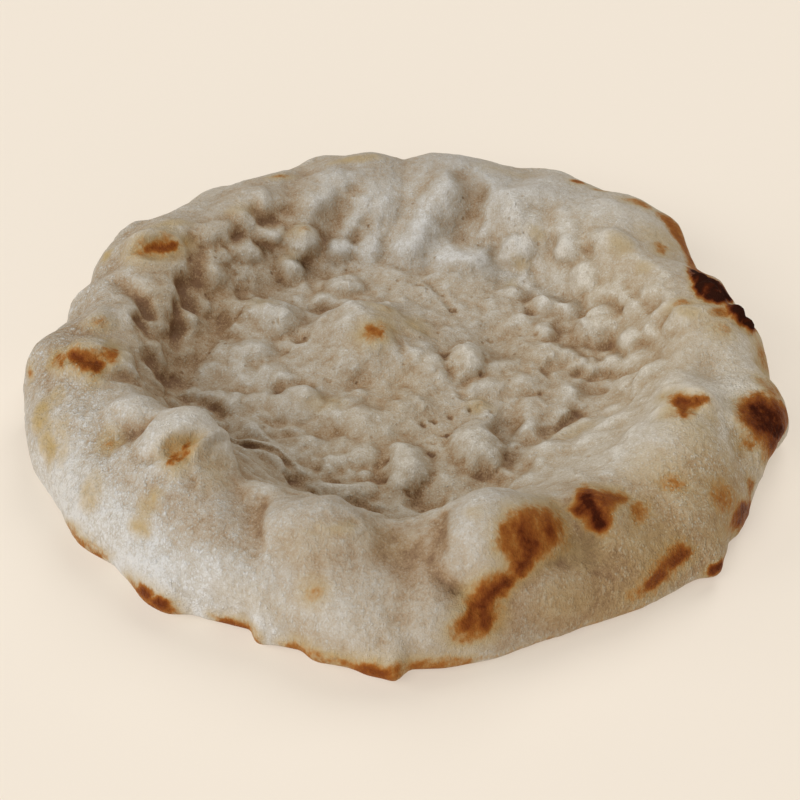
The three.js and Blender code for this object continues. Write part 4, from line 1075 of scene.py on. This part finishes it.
# ---------------------------------------------------------------- floor, light, camera
floor_mesh = bpy.data.meshes.new("floor")
_ring = [(9 * math.cos(k * math.pi / 32), 9 * math.sin(k * math.pi / 32)) for k in range(64)]
floor_mesh.from_pydata([(x, y, 0) for x, y in _ring] + [(x, y, 2.2) for x, y in _ring], [],
                       [tuple(range(64))] + [((k + 1) % 64, k, k + 64, (k + 1) % 64 + 64) for k in range(64)])
floor = bpy.data.objects.new("floor", floor_mesh)
bpy.context.scene.collection.objects.link(floor)
floor_mat, fnt, fb = material("pale_floor")
fb.inputs["Base Color"].default_value = (0.39, 0.351, 0.298, 1)
fb.inputs["Emission Color"].default_value = (0.48, 0.427, 0.363, 1)
fb.inputs["Emission Strength"].default_value = 1.0
fb.inputs["Roughness"].default_value = 0.9
fb.inputs["Specular IOR Level"].default_value = 0.1
floor_mesh.materials.append(floor_mat)

LIGHTS = (
    # name, bearing of the light, its height angle, distance, size, power
    ("key", 190, 25, 3.4, 2.3, 62.0),
    ("front_left", 236, 42, 3.4, 2.3, 54.0),
    ("back_right", 60, 52, 3.4, 2.3, 69.0),
    ("front_low", 285, 18, 3.4, 2.3, 33.0),
)
for name, bearing, height, dist, size, power in LIGHTS:
    az, el = math.radians(bearing), math.radians(height)
    d = Vector((math.cos(az) * math.cos(el), math.sin(az) * math.cos(el), math.sin(el)))
    light = bpy.data.lights.new(name, "AREA")
    light.shape = "DISK"
    light.size = size
    light.energy = 0.972 * power
    o = bpy.data.objects.new(name, light)
    o.location = d * dist
    o.rotation_euler = d.to_track_quat("Z", "Y").to_euler()
    bpy.context.scene.collection.objects.link(o)

world = bpy.data.worlds.new("studio")
world.use_nodes = True
world.node_tree.nodes["Background"].inputs[0].default_value = srgb(242, 230, 214)
world.node_tree.nodes["Background"].inputs[1].default_value = 0.04
bpy.context.scene.world = world
bpy.context.scene.view_settings.view_transform = "Standard"

cam = bpy.data.cameras.new("camera")
cam.sensor_width = 36.0
cam.sensor_fit = "HORIZONTAL"
cam.lens = FOCAL / 800 * 36.0
cam.shift_x = (400 - TARGET_PIXEL[0]) / 800
cam.shift_y = (TARGET_PIXEL[1] - 400) / 800
cam.clip_start, cam.clip_end = 0.01, 50
camera = bpy.data.objects.new("camera", cam)
camera.location = Vector((EYE + SHIFT) * MM)
camera.rotation_euler = (math.radians(90 - ELEVATION), 0, 0)
bpy.context.scene.collection.objects.link(camera)
bpy.context.scene.camera = camera
